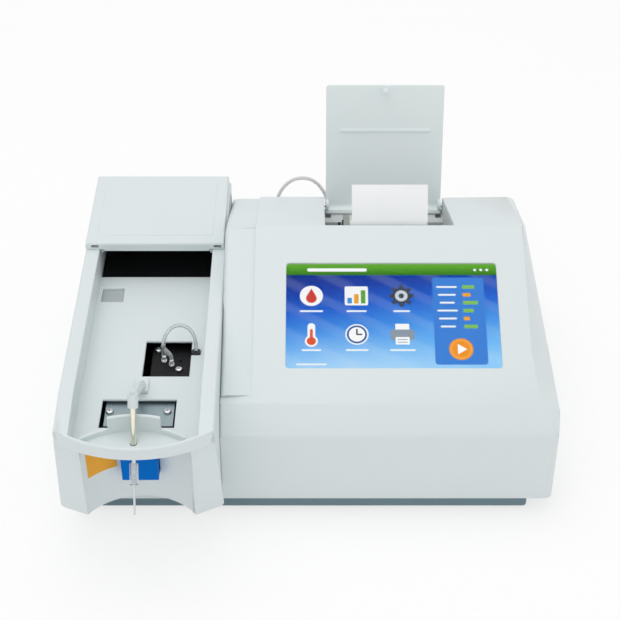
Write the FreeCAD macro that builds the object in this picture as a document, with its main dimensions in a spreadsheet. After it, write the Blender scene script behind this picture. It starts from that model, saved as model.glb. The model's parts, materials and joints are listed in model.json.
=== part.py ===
import FreeCAD, Part
import math
import os
from types import SimpleNamespace

import Sketcher
from FreeCAD import Placement, Rotation, Vector

# Semi-automatic chemistry analyzer: a bench instrument with a sloped touch screen and a built-in
# printer on the right, and a sampling module with flow cell and aspiration needle on the left.
# Frame: origin on the bench under the middle of the pan, X to the right, Y to the back, Z up, mm.

os.makedirs("parts", exist_ok=True)
doc = FreeCAD.newDocument("chemistry_analyzer")
sheet = doc.addObject("Spreadsheet::Sheet", "sizes")

SIZES = {
    # General
    "wall": 2.5,
    "seat_gap": 0.1,
    "joint_gap": 0.3,
    "run_gap": 0.05,
    "screw_radius": 1.5,
    "head_radius": 2.75,
    "head_height": 1.9,
    # Feet and base pan
    "foot_radius": 8.0,
    "foot_height": 3.0,
    "foot_stem_radius": 2.4,
    "foot_x": 138.0,
    "foot_front": -84.0,
    "foot_back": 122.0,
    "pan_half_width": 159.0,
    "pan_front": -103.8,
    "pan_back": 141.0,
    "skirt_level": 14.0,
    # Main cover
    "cover_left": -63.7,
    "cover_right": 177.0,
    "cover_front": -107.0,
    "cover_back": 146.0,
    "front_top": 74.0,
    "bevel_depth": 14.0,
    "bevel_top": 94.0,
    "front_slope": 23.09,
    "back_slope": 22.77,
    "ridge_run": 135.6,
    "shoulder_level": 87.0,
    "crease_inset": 18.0,
    "crease_flare": 7.0,
    "back_corner": 10.0,
    "front_corner": 6.0,
    "channel_right": -41.0,
    "channel_depth": 2.0,
    "channel_fade": 70.0,
    # Screen
    "screen_centre": 60.0,
    "screen_width": 155.0,
    "screen_height": 87.0,
    "screen_from_ridge": 32.3,
    "screen_corner": 2.5,
    "glass_margin": 4.0,
    "glass_thickness": 1.1,
    "panel_thickness": 5.7,
    "panel_margin": 6.0,
    "carrier_rim": 6.0,
    # Printer bay
    "bay_left": 11.5,
    "bay_width": 96.8,
    "bay_front": 44.6,
    "bay_floor": 77.0,
    "bay_wall": 2.0,
    "notch_level": 97.0,
    "lid_pivot_y": 139.6,
    "lid_pivot_z": 104.0,
    "lid_width": 94.0,
    "lid_length": 100.5,
    "lid_thickness": 2.5,
    "lid_lean": 12.9,
    "lid_pin_radius": 1.5,
    "lid_knuckle": 4.0,
    "knuckle_width": 2.5,
    "peg_radius": 1.9,
    "peg_length": 5.5,
    "peg_inset": 3.5,
    "roll_radius": 20.0,
    "roll_core": 6.0,
    "paper_width": 57.0,
    "paper_thickness": 0.2,
    "roll_y": 93.0,
    "platen_radius": 5.0,
    "platen_length": 62.0,
    "platen_y": 53.8,
    "platen_z": 118.0,
    "platen_shaft_radius": 2.0,
    # Sampling module
    "module_left": -172.0,
    "module_right": -64.0,
    "rail_level": 123.0,
    "rail_width": 10.7,
    "deck_level": 100.0,
    "deck_back": 48.0,
    "lip_front": -164.0,
    "lip_radius": 94.0,
    "lip_level": 116.0,
    "tray_floor": 104.0,
    "nose_bottom": 30.0,
    "panel_radius": 47.7,
    "panel_crown": -120.0,
    "panel_x": -118.7,
    # Sliding cover
    "slider_front": 52.0,
    "slider_top": 129.0,
    "slider_wall": 2.2,
    "slider_lip_drop": 1.6,
    # Deck windows and what shows in them
    "cell_window_left": -119.8,
    "cell_window_right": -86.3,
    "cell_window_front": -70.0,
    "cell_window_back": -30.7,
    "bracket_window_left": -145.2,
    "bracket_window_right": -93.4,
    "bracket_window_front": -124.0,
    "bracket_window_back": -95.0,
    "cell_block_top": 92.0,
    "cell_block_left": -115.5,
    "light_level": 66.0,
    "light_x": -100.6,
    "light_bore": 3.0,
    "cell_radius": 6.0,
    # Aspiration needle
    "needle_x": -119.0,
    "apex_y": -128.0,
    "apex_z": 132.0,
    "needle_tilt": 30.0,
    "sleeve_radius": 2.0,
    "sleeve_length": 33.0,
    "needle_radius": 1.3,
    "tip_radius": 0.8,
    "needle_length": 82.0,
    "holder_radius": 3.0,
    "holder_start": 46.0,
    "holder_length": 15.0,
    # Trigger key
    "key_left": -131.0,
    "key_width": 25.5,
    "key_bottom": 58.0,
    "key_height": 34.0,
    "key_face": -133.0,
    # Rear panel
    "rear_left": -40.0,
    "rear_right": 152.0,
    "rear_bottom": 21.0,
    "rear_top": 71.0,
    "rear_plate": 2.0,
    "fan_size": 48.0,
    "fan_depth": 10.0,
    "fan_x": 124.0,
    "fan_z": 46.0,
    "inlet_x": -18.0,
    "port_z": 38.0,
    "switch_x": 14.0,
    "serial_x": 48.0,
    "usb_x": 80.0,
    "hose_left": -27.0,
    "hose_right": 13.0,
    "hose_y": 154.0,
    "hose_z": 62.0,
    "hose_radius": 1.4,
}


class Size:
    """A length or an angle: its present value, and the sheet expression that gives it."""

    def __init__(self, value, text):
        self.value = value
        self.text = text

    def __add__(self, other):
        return Size(self.value + number(other), f"({self.text} + {text_of(other)})")

    def __radd__(self, other):
        return Size(number(other) + self.value, f"({text_of(other)} + {self.text})")

    def __sub__(self, other):
        return Size(self.value - number(other), f"({self.text} - {text_of(other)})")

    def __rsub__(self, other):
        return Size(number(other) - self.value, f"({text_of(other)} - {self.text})")

    def __mul__(self, other):
        return Size(self.value * number(other), f"({self.text} * {text_of(other)})")

    def __rmul__(self, other):
        return Size(number(other) * self.value, f"({text_of(other)} * {self.text})")

    def __truediv__(self, other):
        return Size(self.value / number(other), f"({self.text} / {text_of(other)})")

    def __neg__(self):
        return Size(-self.value, f"(0 - {self.text})")


def number(size):
    return size.value if isinstance(size, Size) else float(size)


def text_of(size):
    if isinstance(size, Size):
        return size.text
    return f"({size})"


def tangent(angle):
    return Size(math.tan(math.radians(number(angle))), f"tan({text_of(angle)})")


def sine(angle):
    return Size(math.sin(math.radians(number(angle))), f"sin({text_of(angle)})")


def cosine(angle):
    return Size(math.cos(math.radians(number(angle))), f"cos({text_of(angle)})")


def root(square):
    return Size(math.sqrt(number(square)), f"sqrt({text_of(square)})")


for row, (alias, size) in enumerate(SIZES.items(), start=1):
    sheet.set(f"A{row}", alias.replace("_", " "))
    sheet.set(f"B{row}", str(size))
    sheet.setAlias(f"B{row}", alias)
doc.recompute()
d = SimpleNamespace(**{alias: Size(size, f"sizes.{alias}") for alias, size in SIZES.items()})


# Ways of making the pieces

nodes = []


def node(thing, name):
    """Name a finished piece, which gives its file the same name."""
    thing.Label = name
    nodes.append(thing)
    return thing


def bind(thing, path, size):
    if isinstance(size, Size):
        thing.setExpression(path, size.text)


def place(thing, x, y, z, rotation=None):
    thing.Placement = Placement(Vector(number(x), number(y), number(z)), rotation or Rotation())
    for letter, size in zip("xyz", (x, y, z)):
        bind(thing, f"Placement.Base.{letter}", size)


def unique(kind, name):
    return doc.addObject(kind, name)


def box(x_span, y_span, z_span, name="block"):
    """A block given by its low and high limits along each axis."""
    thing = unique("Part::Box", name)
    for label, (low, high) in zip(("Length", "Width", "Height"), (x_span, y_span, z_span)):
        extent = high - low
        setattr(thing, label, number(extent))
        bind(thing, label, extent)
    place(thing, x_span[0], y_span[0], z_span[0])
    return thing


AXIS_TURN = {
    "X": Rotation(Vector(0, 1, 0), 90),
    "Y": Rotation(Vector(1, 0, 0), -90),
    "Z": Rotation(),
}


def rod(axis, start, radius, length, name="rod"):
    """A cylinder from its start point along an axis."""
    thing = unique("Part::Cylinder", name)
    thing.Radius = number(radius)
    thing.Height = number(length)
    bind(thing, "Radius", radius)
    bind(thing, "Height", length)
    place(thing, *start, AXIS_TURN[axis])
    return thing


def fuse(*things, name="joined"):
    result = unique("Part::MultiFuse", name)
    result.Shapes = list(things)
    return result


def group(*things, name="group"):
    """Several separate solids that share one node."""
    result = unique("Part::Compound", name)
    result.Links = list(things)
    return result


def cut(base, *tools, name="cut"):
    result = unique("Part::Cut", name)
    result.Base = base
    result.Tool = tools[0] if len(tools) == 1 else fuse(*tools)
    return result


def common(first, second, name="common"):
    result = unique("Part::Common", name)
    result.Base = first
    result.Tool = second
    return result


def new_body(name):
    return unique("PartDesign::Body", name)


def profile(body, plane, level, corners, arcs=None):
    """A closed outline on one of the body's own planes, moved to a level along its axis.

    arcs gives, for the edge that starts at a corner, its radius and the side of its centre:
    1 is left of the direction of travel and -1 is right of it.
    """
    sketch = body.newObject("Sketcher::SketchObject", f"{plane.lower()}_outline")
    role = next(item for item in body.Origin.OriginFeatures if item.Role == f"{plane}_Plane")
    sketch.AttachmentSupport = [(role, "")]
    sketch.MapMode = "FlatFace"
    offset = -level if plane == "XZ" else level
    sketch.AttachmentOffset = Placement(Vector(0, 0, number(offset)), Rotation())
    bind(sketch, "AttachmentOffset.Base.z", offset)
    points = [Vector(number(u), number(v), 0) for u, v in corners]
    total = len(points)
    arcs = arcs or {}
    for index, start in enumerate(points):
        end = points[(index + 1) % total]
        if index not in arcs:
            sketch.addGeometry(Part.LineSegment(start, end), False)
            continue
        radius, side = arcs[index]
        chord = end - start
        middle = (start + end) * 0.5
        rise = math.sqrt(number(radius) ** 2 - (chord.Length / 2) ** 2)
        normal = Vector(-chord.y, chord.x, 0).normalize() * side
        bulge = middle - normal * (number(radius) - rise)
        sketch.addGeometry(Part.Arc(start, bulge, end), False)
    # An arc may run against the direction of travel, so its ends are looked up.
    ends = []
    for index in range(total):
        first = sketch.getPoint(index, 1)
        forward = (first - points[index]).Length < 1e-6
        ends.append((1, 2) if forward else (2, 1))
    for index in range(total):
        following = (index + 1) % total
        sketch.addConstraint(Sketcher.Constraint(
            "Coincident", index, ends[index][1], following, ends[following][0]))
    for index, (u, v) in enumerate(corners):
        for kind, size in (("DistanceX", u), ("DistanceY", v)):
            row = sketch.addConstraint(Sketcher.Constraint(
                kind, -1, 1, index, ends[index][0], number(size)))
            bind(sketch, f"Constraints[{row}]", size)
    for index, (radius, side) in arcs.items():
        row = sketch.addConstraint(Sketcher.Constraint("Radius", index, number(radius)))
        bind(sketch, f"Constraints[{row}]", radius)
    return sketch


def ring_profile(body, plane, level, centre, radius):
    """A circle on one of the body's own planes."""
    sketch = body.newObject("Sketcher::SketchObject", f"{plane.lower()}_circle")
    role = next(item for item in body.Origin.OriginFeatures if item.Role == f"{plane}_Plane")
    sketch.AttachmentSupport = [(role, "")]
    sketch.MapMode = "FlatFace"
    offset = -level if plane == "XZ" else level
    sketch.AttachmentOffset = Placement(Vector(0, 0, number(offset)), Rotation())
    bind(sketch, "AttachmentOffset.Base.z", offset)
    u, v = centre
    sketch.addGeometry(Part.Circle(Vector(number(u), number(v), 0), Vector(0, 0, 1), number(radius)))
    for kind, size in (("DistanceX", u), ("DistanceY", v)):
        row = sketch.addConstraint(Sketcher.Constraint(kind, -1, 1, 0, 3, number(size)))
        bind(sketch, f"Constraints[{row}]", size)
    row = sketch.addConstraint(Sketcher.Constraint("Radius", 0, number(radius)))
    bind(sketch, f"Constraints[{row}]", radius)
    return sketch


def pad(body, plane, low, high, corners, arcs=None):
    """Material between two levels along the plane's axis."""
    level = high if plane == "XZ" else low
    sketch = profile(body, plane, level, corners, arcs)
    return extrude(body, sketch, high - low)


def extrude(body, sketch, length):
    feature = body.newObject("PartDesign::Pad", "pad")
    feature.Profile = sketch
    feature.Length = number(length)
    bind(feature, "Length", length)
    doc.recompute()
    return feature


def dig(body, sketch, length):
    """Take material away against the sketch's normal, and make sure that some went."""
    before = body.Shape.Volume
    feature = body.newObject("PartDesign::Pocket", "pocket")
    feature.Profile = sketch
    feature.Length = number(length)
    bind(feature, "Length", length)
    doc.recompute()
    if not body.Shape.Volume < before - 0.01:
        raise RuntimeError(f"a pocket in {body.Name} cuts nothing")
    return feature


def pocket(body, plane, low, high, corners, arcs=None):
    """A hollow between two levels along the plane's axis."""
    level = low if plane == "XZ" else high
    return dig(body, profile(body, plane, level, corners, arcs), high - low)


def loft(body, sections, kind="Additive"):
    before = body.Shape.Volume if kind == "Subtractive" else 0.0
    feature = body.newObject(f"PartDesign::{kind}Loft", "loft")
    feature.Profile = sections[0]
    feature.Sections = sections[1:]
    feature.Ruled = True
    doc.recompute()
    if kind == "Subtractive" and not body.Shape.Volume < before - 0.01:
        raise RuntimeError(f"a loft in {body.Name} cuts nothing")
    return feature


def round_edges(body, radius, test):
    """Round the edges of the body that pass a test of their two end points."""
    names = []
    for index, edge in enumerate(body.Shape.Edges, start=1):
        if len(edge.Vertexes) == 2 and test(edge.Vertexes[0].Point, edge.Vertexes[1].Point):
            names.append(f"Edge{index}")
    before = body.Tip
    feature = body.newObject("PartDesign::Fillet", "fillet")
    feature.Base = (before, names)
    feature.Radius = number(radius)
    bind(feature, "Radius", radius)
    doc.recompute()
    return feature


def rectangle(u_low, u_high, v_low, v_high):
    return ((u_low, v_low), (u_high, v_low), (u_high, v_high), (u_low, v_high))


def screw(x, y, z, length, name="screw"):
    """A pan-head screw driven down, its head standing on level z."""
    head = rod("Z", (x, y, z), d.head_radius, d.head_height)
    shank = rod("Z", (x, y, z - length), d.screw_radius, length + d.head_height / 2)
    slot = box((x - d.head_radius, x + d.head_radius), (y - 0.35, y + 0.35),
               (z + d.head_height * 0.55, z + d.head_height + 1))
    return cut(fuse(head, shank), slot, name=name)


def screw_hole(x, y, low, high):
    return rod("Z", (x, y, low), d.screw_radius + d.run_gap, high - low)


def rounded_path(points, share=0.46, given=()):
    """Straight runs joined by tangent arcs, and the radius at each inner point.

    A radius that isn't given follows from a share of the shorter run.
    """
    edges = []
    radii = []
    start = points[0]
    for before, here, after in zip(points, points[1:], points[2:]):
        toward = (before - here).normalize()
        away = (after - here).normalize()
        half_turn = (math.pi - toward.getAngle(away)) / 2
        reach = share * min((before - here).Length, (after - here).Length)
        radius = reach / math.tan(half_turn)
        if len(given) > len(radii) and given[len(radii)]:
            radius = given[len(radii)]
            reach = radius * math.tan(half_turn)
        first = here + toward * reach
        last = here + away * reach
        inward = (toward + away).normalize()
        middle = here + inward * (radius / math.cos(half_turn) - radius)
        edges.append(Part.LineSegment(start, first).toShape())
        edges.append(Part.Arc(first, middle, last).toShape())
        radii.append(round(radius, 1))
        start = last
    edges.append(Part.LineSegment(start, points[-1]).toShape())
    return Part.Wire(edges), radii


def tube(points, radius, share=0.46):
    """A round solid along a route, its length, and its radii at the corners."""
    path, radii = rounded_path(points, share)
    first = path.Edges[0]
    ring = Part.Circle(first.valueAt(first.FirstParameter), first.tangentAt(first.FirstParameter),
                       number(radius))
    shape = path.makePipeShell([Part.Wire(ring.toShape())], True, False)
    full = math.pi * number(radius) ** 2 * path.Length
    if abs(shape.Volume / full - 1) > 0.01:
        raise RuntimeError(f"a tube has {shape.Volume:.1f} mm3 in place of {full:.1f}")
    return shape, path.Length, radii


def hose(name, points, radius):
    """A hose held at both ends, as a tube along its route."""
    thing = unique("Part::Feature", name)
    thing.Shape, length, radii = tube([Vector(*point) for point in points], radius)
    print(f"{name}: length {length:.1f} mm, radii {radii}")
    return node(thing, name)


# Levels and lines that several pieces share

pan_bottom = d.foot_height
pan_flange_top = d.skirt_level + d.wall
bevel_y = d.cover_front + d.bevel_depth
ridge_y = bevel_y + d.ridge_run
ridge_z = d.bevel_top + d.ridge_run * tangent(d.front_slope)
back_z = ridge_z - (d.cover_back - ridge_y) * tangent(d.back_slope)
slope_wall = d.wall / cosine(d.front_slope)
cover_inner_right = d.cover_right - d.wall
cover_inner_back = d.cover_back - d.wall
cover_inner_front = d.cover_front + d.wall
cover_inner_left = d.cover_left + d.wall
crease_x = d.cover_right - d.crease_inset
bay_right = d.bay_left + d.bay_width
bay_centre = d.bay_left + d.bay_width / 2
module_inner_left = d.module_left + d.wall
module_inner_right = d.module_right - d.wall
front_inset = 3.0
back_inset = d.back_corner * 0.6
glass_low = -(d.wall + d.seat_gap + d.glass_thickness)
panel_low = glass_low - d.seat_gap - d.panel_thickness
carrier_low = panel_low - d.wall
carrier_reach = d.panel_margin + d.joint_gap + d.carrier_rim
screen_left = d.screen_centre - d.screen_width / 2
screen_right = d.screen_centre + d.screen_width / 2
screen_top = d.screen_from_ridge
screen_bottom = d.screen_from_ridge + d.screen_height


# Feet and base pan

def build_feet():
    feet = []
    for x in (-d.foot_x, d.foot_x):
        for y in (d.foot_front, d.foot_back):
            pad_disc = rod("Z", (x, y, 0.0), d.foot_radius, d.foot_height)
            stem = rod("Z", (x, y, d.foot_height / 2), d.foot_stem_radius,
                       d.foot_height / 2 + d.wall * 1.6)
            feet.append(fuse(pad_disc, stem))
    node(group(*feet), "feet")


def build_base_pan():
    body = new_body("pan_tray")
    pad(body, "XY", pan_bottom, pan_flange_top,
        rectangle(-d.pan_half_width, d.pan_half_width, d.pan_front, d.pan_back))
    round_edges(body, 3.0, lambda a, b: abs(a.x - b.x) < 1e-6 and abs(a.y - b.y) < 1e-6)
    # The flange follows the inside of the cover's front and back corners.
    left = module_inner_left + d.joint_gap
    right = cover_inner_right - d.joint_gap
    front = cover_inner_front + d.joint_gap
    back = cover_inner_back - d.joint_gap
    pad(body, "XY", d.skirt_level, pan_flange_top, (
        (left, front), (right - front_inset - d.joint_gap, front), (right, bevel_y + d.wall * 2),
        (right, d.cover_back - d.back_corner - d.wall), (right - back_inset - d.joint_gap, back),
        (left, back)))
    pocket(body, "XY", pan_bottom + d.wall, pan_flange_top,
           rectangle(-d.pan_half_width + d.wall, d.pan_half_width - d.wall,
                     d.pan_front + d.wall, d.pan_back - d.wall))
    holes = []
    for x in (-d.foot_x, d.foot_x):
        for y in (d.foot_front, d.foot_back):
            holes.append(rod("Z", (x, y, pan_bottom - 1), d.foot_stem_radius + d.run_gap, d.wall + 2))
    for x, y in case_screw_places():
        holes.append(screw_hole(x, y, pan_bottom, pan_flange_top + 1))
    for index in range(12):
        holes.append(box((20.0 + index * 8.0 - d.wall, 20.0 + index * 8.0 + 1.0),
                         (d.pan_front + 22, d.pan_front + 62), (pan_bottom - 1, pan_bottom + d.wall + 1)))
    # The main board stands on four studs of the pan.
    studs = [rod("Z", (x, y, pan_bottom + d.wall / 2), 3.0, d.wall / 2 + 6.5)
             for x in (18.0, 142.0) for y in (-78.0, 18.0)]
    node(cut(fuse(body, *studs), *holes), "base_pan")


def case_screw_places():
    """Screws through the pan's flange, up into the covers' corner blocks."""
    return (
        (cover_inner_right - 7, d.foot_front),
        (cover_inner_right - 7, d.foot_back - 10),
        (module_inner_left + 6.3, d.foot_front),
        (module_inner_left + 6.3, d.foot_back - 10),
    )


def case_screws():
    screws = []
    for x, y in case_screw_places():
        head = rod("Z", (x, y, d.skirt_level - d.head_height), d.head_radius, d.head_height)
        shank = rod("Z", (x, y, d.skirt_level - d.head_height / 2), d.screw_radius,
                    d.head_height / 2 + d.wall + 8)
        screws.append(fuse(head, shank))
    return screws


def corner_block(x_span, y):
    """A block on a cover's inner wall that takes a case screw from below."""
    return box(x_span, (y - 6, y + 6), (pan_flange_top + d.seat_gap, pan_flange_top + 18))


# Main cover

def cover_section(body, y, right, left, bottom, top, shoulder, crease):
    corners = ((left, bottom), (right, bottom), (right, shoulder), (crease, top), (left, top))
    return profile(body, "XZ", y, corners)


def crease_at(y):
    """The crease beside the top widens from the ridge to the back."""
    return crease_x + d.crease_flare * (y - ridge_y) / (d.cover_back - ridge_y)


def build_main_cover():
    body = new_body("cover_blank")
    drop = d.channel_depth
    sections = []
    # The front corner and the bevel, rounded in plan by four stations.
    for angle in (0.0, 30.0, 60.0):
        inset = d.front_corner * (1 - math.sin(math.radians(angle)))
        y = d.cover_front + d.front_corner * (1 - math.cos(math.radians(angle)))
        top = d.front_top + (y - d.cover_front) * (d.bevel_top - d.front_top) / d.bevel_depth
        right = d.cover_right - inset
        sections.append(cover_section(body, y, right, d.cover_left, d.skirt_level, top,
                                      top - 4, right - 4))
    sections.append(cover_section(body, bevel_y, d.cover_right, d.cover_left, d.skirt_level,
                                  d.bevel_top, d.shoulder_level, crease_x + 4))
    sections.append(cover_section(body, bevel_y + d.channel_fade / 2, d.cover_right, d.cover_left,
                                  d.skirt_level,
                                  d.bevel_top + d.channel_fade / 2 * tangent(d.front_slope),
                                  d.shoulder_level, crease_x))
    sections.append(cover_section(body, ridge_y, d.cover_right, d.cover_left, d.skirt_level,
                                  ridge_z, d.shoulder_level, crease_x))
    # The back corner, rounded in plan.
    for angle in (90.0, 60.0, 30.0, 0.0):
        inset = d.back_corner * (1 - math.sin(math.radians(angle)))
        y = d.cover_back - d.back_corner * (1 - math.cos(math.radians(angle)))
        top = ridge_z - (y - ridge_y) * tangent(d.back_slope)
        sections.append(cover_section(body, y, d.cover_right - inset, d.cover_left, d.skirt_level,
                                      top, d.shoulder_level, crease_at(y) - inset))
    loft(body, sections)
    # The lower channel beside the module, which fades out towards the front bevel.
    fade_y = bevel_y + d.channel_fade
    fade_z = d.bevel_top + d.channel_fade * tangent(d.front_slope) - drop
    pocket(body, "YZ", d.cover_left - 1, d.channel_right, (
        (bevel_y + 6, d.bevel_top + 6 * tangent(d.front_slope)),
        (fade_y, fade_z),
        (ridge_y, ridge_z - drop),
        (d.cover_back + 1, back_z - tangent(d.back_slope) - drop),
        (d.cover_back + 1, ridge_z + 10),
        (bevel_y + 6, ridge_z + 10)))
    # The hollow, one wall inside.
    thick = slope_wall + drop
    inner = []
    inner.append(cover_section(body, cover_inner_front, cover_inner_right - front_inset, cover_inner_left,
                               d.skirt_level - 1, d.front_top - d.wall * 0.6, d.front_top - 8,
                               cover_inner_right - 9))
    inner.append(cover_section(body, bevel_y + d.wall, cover_inner_right, cover_inner_left,
                               d.skirt_level - 1, d.bevel_top + d.wall * tangent(d.front_slope) - thick,
                               d.shoulder_level - d.wall * 1.4, crease_x + 2 - d.wall))
    inner.append(cover_section(body, ridge_y, cover_inner_right, cover_inner_left,
                               d.skirt_level - 1, ridge_z - thick, d.shoulder_level - d.wall,
                               crease_x - d.wall))
    inner.append(cover_section(body, d.cover_back - d.back_corner, cover_inner_right,
                               cover_inner_left, d.skirt_level - 1,
                               ridge_z - (d.cover_back - d.back_corner - ridge_y)
                               * tangent(d.back_slope) - thick,
                               d.shoulder_level - d.wall,
                               crease_at(d.cover_back - d.back_corner) - d.wall))
    inner.append(cover_section(body, cover_inner_back, cover_inner_right - back_inset,
                               cover_inner_left, d.skirt_level - 1,
                               back_z + d.wall * tangent(d.back_slope) - thick,
                               d.shoulder_level - d.wall,
                               crease_at(cover_inner_back) - d.wall - back_inset))
    loft(body, inner, "Subtractive")
    # Under the raised panel's back the wall keeps its thickness.
    relief_left = d.channel_right + d.wall
    end_z = back_z + d.wall * tangent(d.back_slope)
    pocket(body, "YZ", relief_left, crease_x - d.wall - d.back_corner, (
        (ridge_y, ridge_z - thick - 0.1), (cover_inner_back, end_z - thick - 0.1),
        (cover_inner_back, end_z - slope_wall), (ridge_y, ridge_z - slope_wall)))
    window = on_slope((screen_left, screen_right), (screen_top, screen_bottom),
                      (-d.wall * 3, d.wall * 2))
    rounded = unique("Part::Fillet", "window_corners")
    rounded.Base = window
    corner = number(d.screen_corner)
    doc.recompute()
    rounded.Edges = [(index, corner, corner) for index, edge in enumerate(window.Shape.Edges, 1)
                     if abs(edge.Length - number(d.wall * 5)) < 1e-6]
    bay = box((d.bay_left, bay_right), (d.bay_front, d.cover_back + 1), (d.notch_level, ridge_z + 10))
    rear = box((d.rear_left, d.rear_right), (cover_inner_back - 1, d.cover_back + 1),
               (d.rear_bottom, d.rear_top))
    side_gate = box((d.cover_left - 1, cover_inner_left + 1),
                    (cover_inner_front, cover_inner_back), (d.skirt_level - 1, pan_flange_top + 0.5))
    # Round the screen's carrier the wall is thinned to its common thickness.
    rim = carrier_reach + d.joint_gap
    seat = on_slope((screen_left - rim, screen_right + rim), (screen_top - rim, screen_bottom + rim),
                    (carrier_low - d.wall, -d.wall))
    open_cover = cut(body, rounded, seat, bay, rear, side_gate, cable_gate())
    blocks = []
    holes = []
    for x, y in case_screw_places()[:2]:
        blocks.append(corner_block((x - 6, cover_inner_right + 1), y))
        holes.append(screw_hole(x, y, pan_flange_top - 1, pan_flange_top + 10))
    node(cut(fuse(open_cover, *blocks), *holes), "main_cover")


def on_slope(x_span, down_span, height_span, name="sloped_block"):
    """A block on the front slope: across, down from the ridge, and out of its surface."""
    thing = unique("Part::Box", name)
    for label, (low, high) in zip(("Length", "Width", "Height"), (x_span, down_span, height_span)):
        extent = high - low
        setattr(thing, label, number(extent))
        bind(thing, label, extent)
    y, z = slope_point(down_span[1], height_span[0])
    place(thing, x_span[0], y, z, Rotation(Vector(1, 0, 0), number(d.front_slope)))
    bind(thing, "Placement.Rotation.Angle", d.front_slope)
    return thing


def slope_point(down, out):
    """The place of a point that lies down from the ridge and out of the front slope."""
    y = ridge_y - down * cosine(d.front_slope) - out * sine(d.front_slope)
    z = ridge_z - down * sine(d.front_slope) + out * cosine(d.front_slope)
    return y, z


# Screen, fixed under the window of the front slope

def build_screen():
    margin = d.glass_margin
    glass = on_slope((screen_left - margin, screen_right + margin),
                     (screen_top - margin, screen_bottom + margin),
                     (glass_low, glass_low + d.glass_thickness))
    node(glass, "touch_glass")
    margin = d.panel_margin
    panel = on_slope((screen_left - margin, screen_right + margin),
                     (screen_top - margin, screen_bottom + margin),
                     (panel_low, panel_low + d.panel_thickness))
    node(panel, "display_panel")
    frame = on_slope((screen_left - carrier_reach, screen_right + carrier_reach),
                     (screen_top - carrier_reach, screen_bottom + carrier_reach),
                     (carrier_low, -(d.wall + d.seat_gap)))
    inner = margin + d.joint_gap
    well = on_slope((screen_left - inner, screen_right + inner),
                    (screen_top - inner, screen_bottom + inner),
                    (panel_low - d.seat_gap, 0))
    opening = on_slope((screen_left + 8, screen_right - 8), (screen_top + 8, screen_bottom - 8),
                       (carrier_low - 1, 0))
    node(cut(frame, well, opening), "screen_carrier")


# Printer: a tub hung in the bay, the print mechanism at its front, the roll behind

tub_left = d.bay_left - d.bay_wall
tub_right = bay_right + d.bay_wall
tub_back = cover_inner_back - d.joint_gap
mechanism_half = d.platen_length / 2 + 3.0


def under_back_slope(y):
    """The underside of the cover's back slope at a place along Y."""
    return ridge_z - (y - ridge_y) * tangent(d.back_slope) - slope_wall - d.joint_gap


def build_printer_tub():
    body = new_body("tub_blank")
    front = d.bay_front - d.bay_wall
    bottom = d.bay_floor - d.bay_wall
    pad(body, "YZ", tub_left, tub_right, (
        (front, bottom), (tub_back, bottom), (tub_back, under_back_slope(tub_back)),
        (front, under_back_slope(front))))
    shelf_front = tub_back - 17
    pocket(body, "YZ", d.bay_left, bay_right, (
        (d.bay_front, d.bay_floor), (shelf_front, d.bay_floor),
        (shelf_front, d.notch_level - d.joint_gap), (tub_back + 1, d.notch_level - d.joint_gap),
        (tub_back + 1, ridge_z), (d.bay_front, ridge_z)))
    slots = []
    for x in (d.bay_left + 1.0, bay_right - 5.5):
        slots.append(box((x, x + 4.5), (tub_back - 10, tub_back - 3), (bottom + 6, d.notch_level + 1)))
    pins = rod("X", (tub_left - 1, d.lid_pivot_y, d.lid_pivot_z), d.lid_pin_radius + d.run_gap,
               d.bay_width + d.bay_wall * 2 + 2)
    node(cut(body, pins, *slots), "printer_tub")


def build_print_mechanism():
    left = bay_centre - mechanism_half
    right = bay_centre + mechanism_half
    y = d.bay_front + d.seat_gap
    low = d.platen_z - 12
    high = d.platen_z + 8
    plate = box((left, right), (y, y + 1.2), (low, high))
    ears = [box((x, x + 1.5), (y, d.platen_y + 6), (low, high - 2)) for x in (left, right - 1.5)]
    bores = rod("X", (left - 1, d.platen_y, d.platen_z), d.platen_shaft_radius + d.run_gap,
                mechanism_half * 2 + 2)
    node(cut(fuse(plate, *ears), bores), "printer_chassis")
    head = box((bay_centre - d.platen_length / 2, bay_centre + d.platen_length / 2),
               (y + 1.3, d.platen_y - d.platen_radius - 0.7), (d.platen_z - 8, d.platen_z + 2.5))
    node(head, "print_head")
    shaft = rod("X", (left - 4, d.platen_y, d.platen_z), d.platen_shaft_radius,
                mechanism_half * 2 + 12)
    node(shaft, "platen_shaft")
    rubber = rod("X", (bay_centre - d.platen_length / 2 + 0.5, d.platen_y, d.platen_z),
                 d.platen_radius, d.platen_length - 1)
    core = rod("X", (bay_centre - d.platen_length / 2, d.platen_y, d.platen_z),
               d.platen_shaft_radius + d.run_gap, d.platen_length)
    node(cut(rubber, core), "platen_roller")
    motor = box((right + d.seat_gap, right + 8), (y, d.platen_y + 10), (low, high - 4))
    bore = rod("X", (right - 1, d.platen_y, d.platen_z), d.platen_shaft_radius + d.run_gap, 12)
    node(cut(motor, bore), "print_motor")


def roll_centre_z():
    return d.bay_floor + d.roll_radius + d.joint_gap


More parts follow.
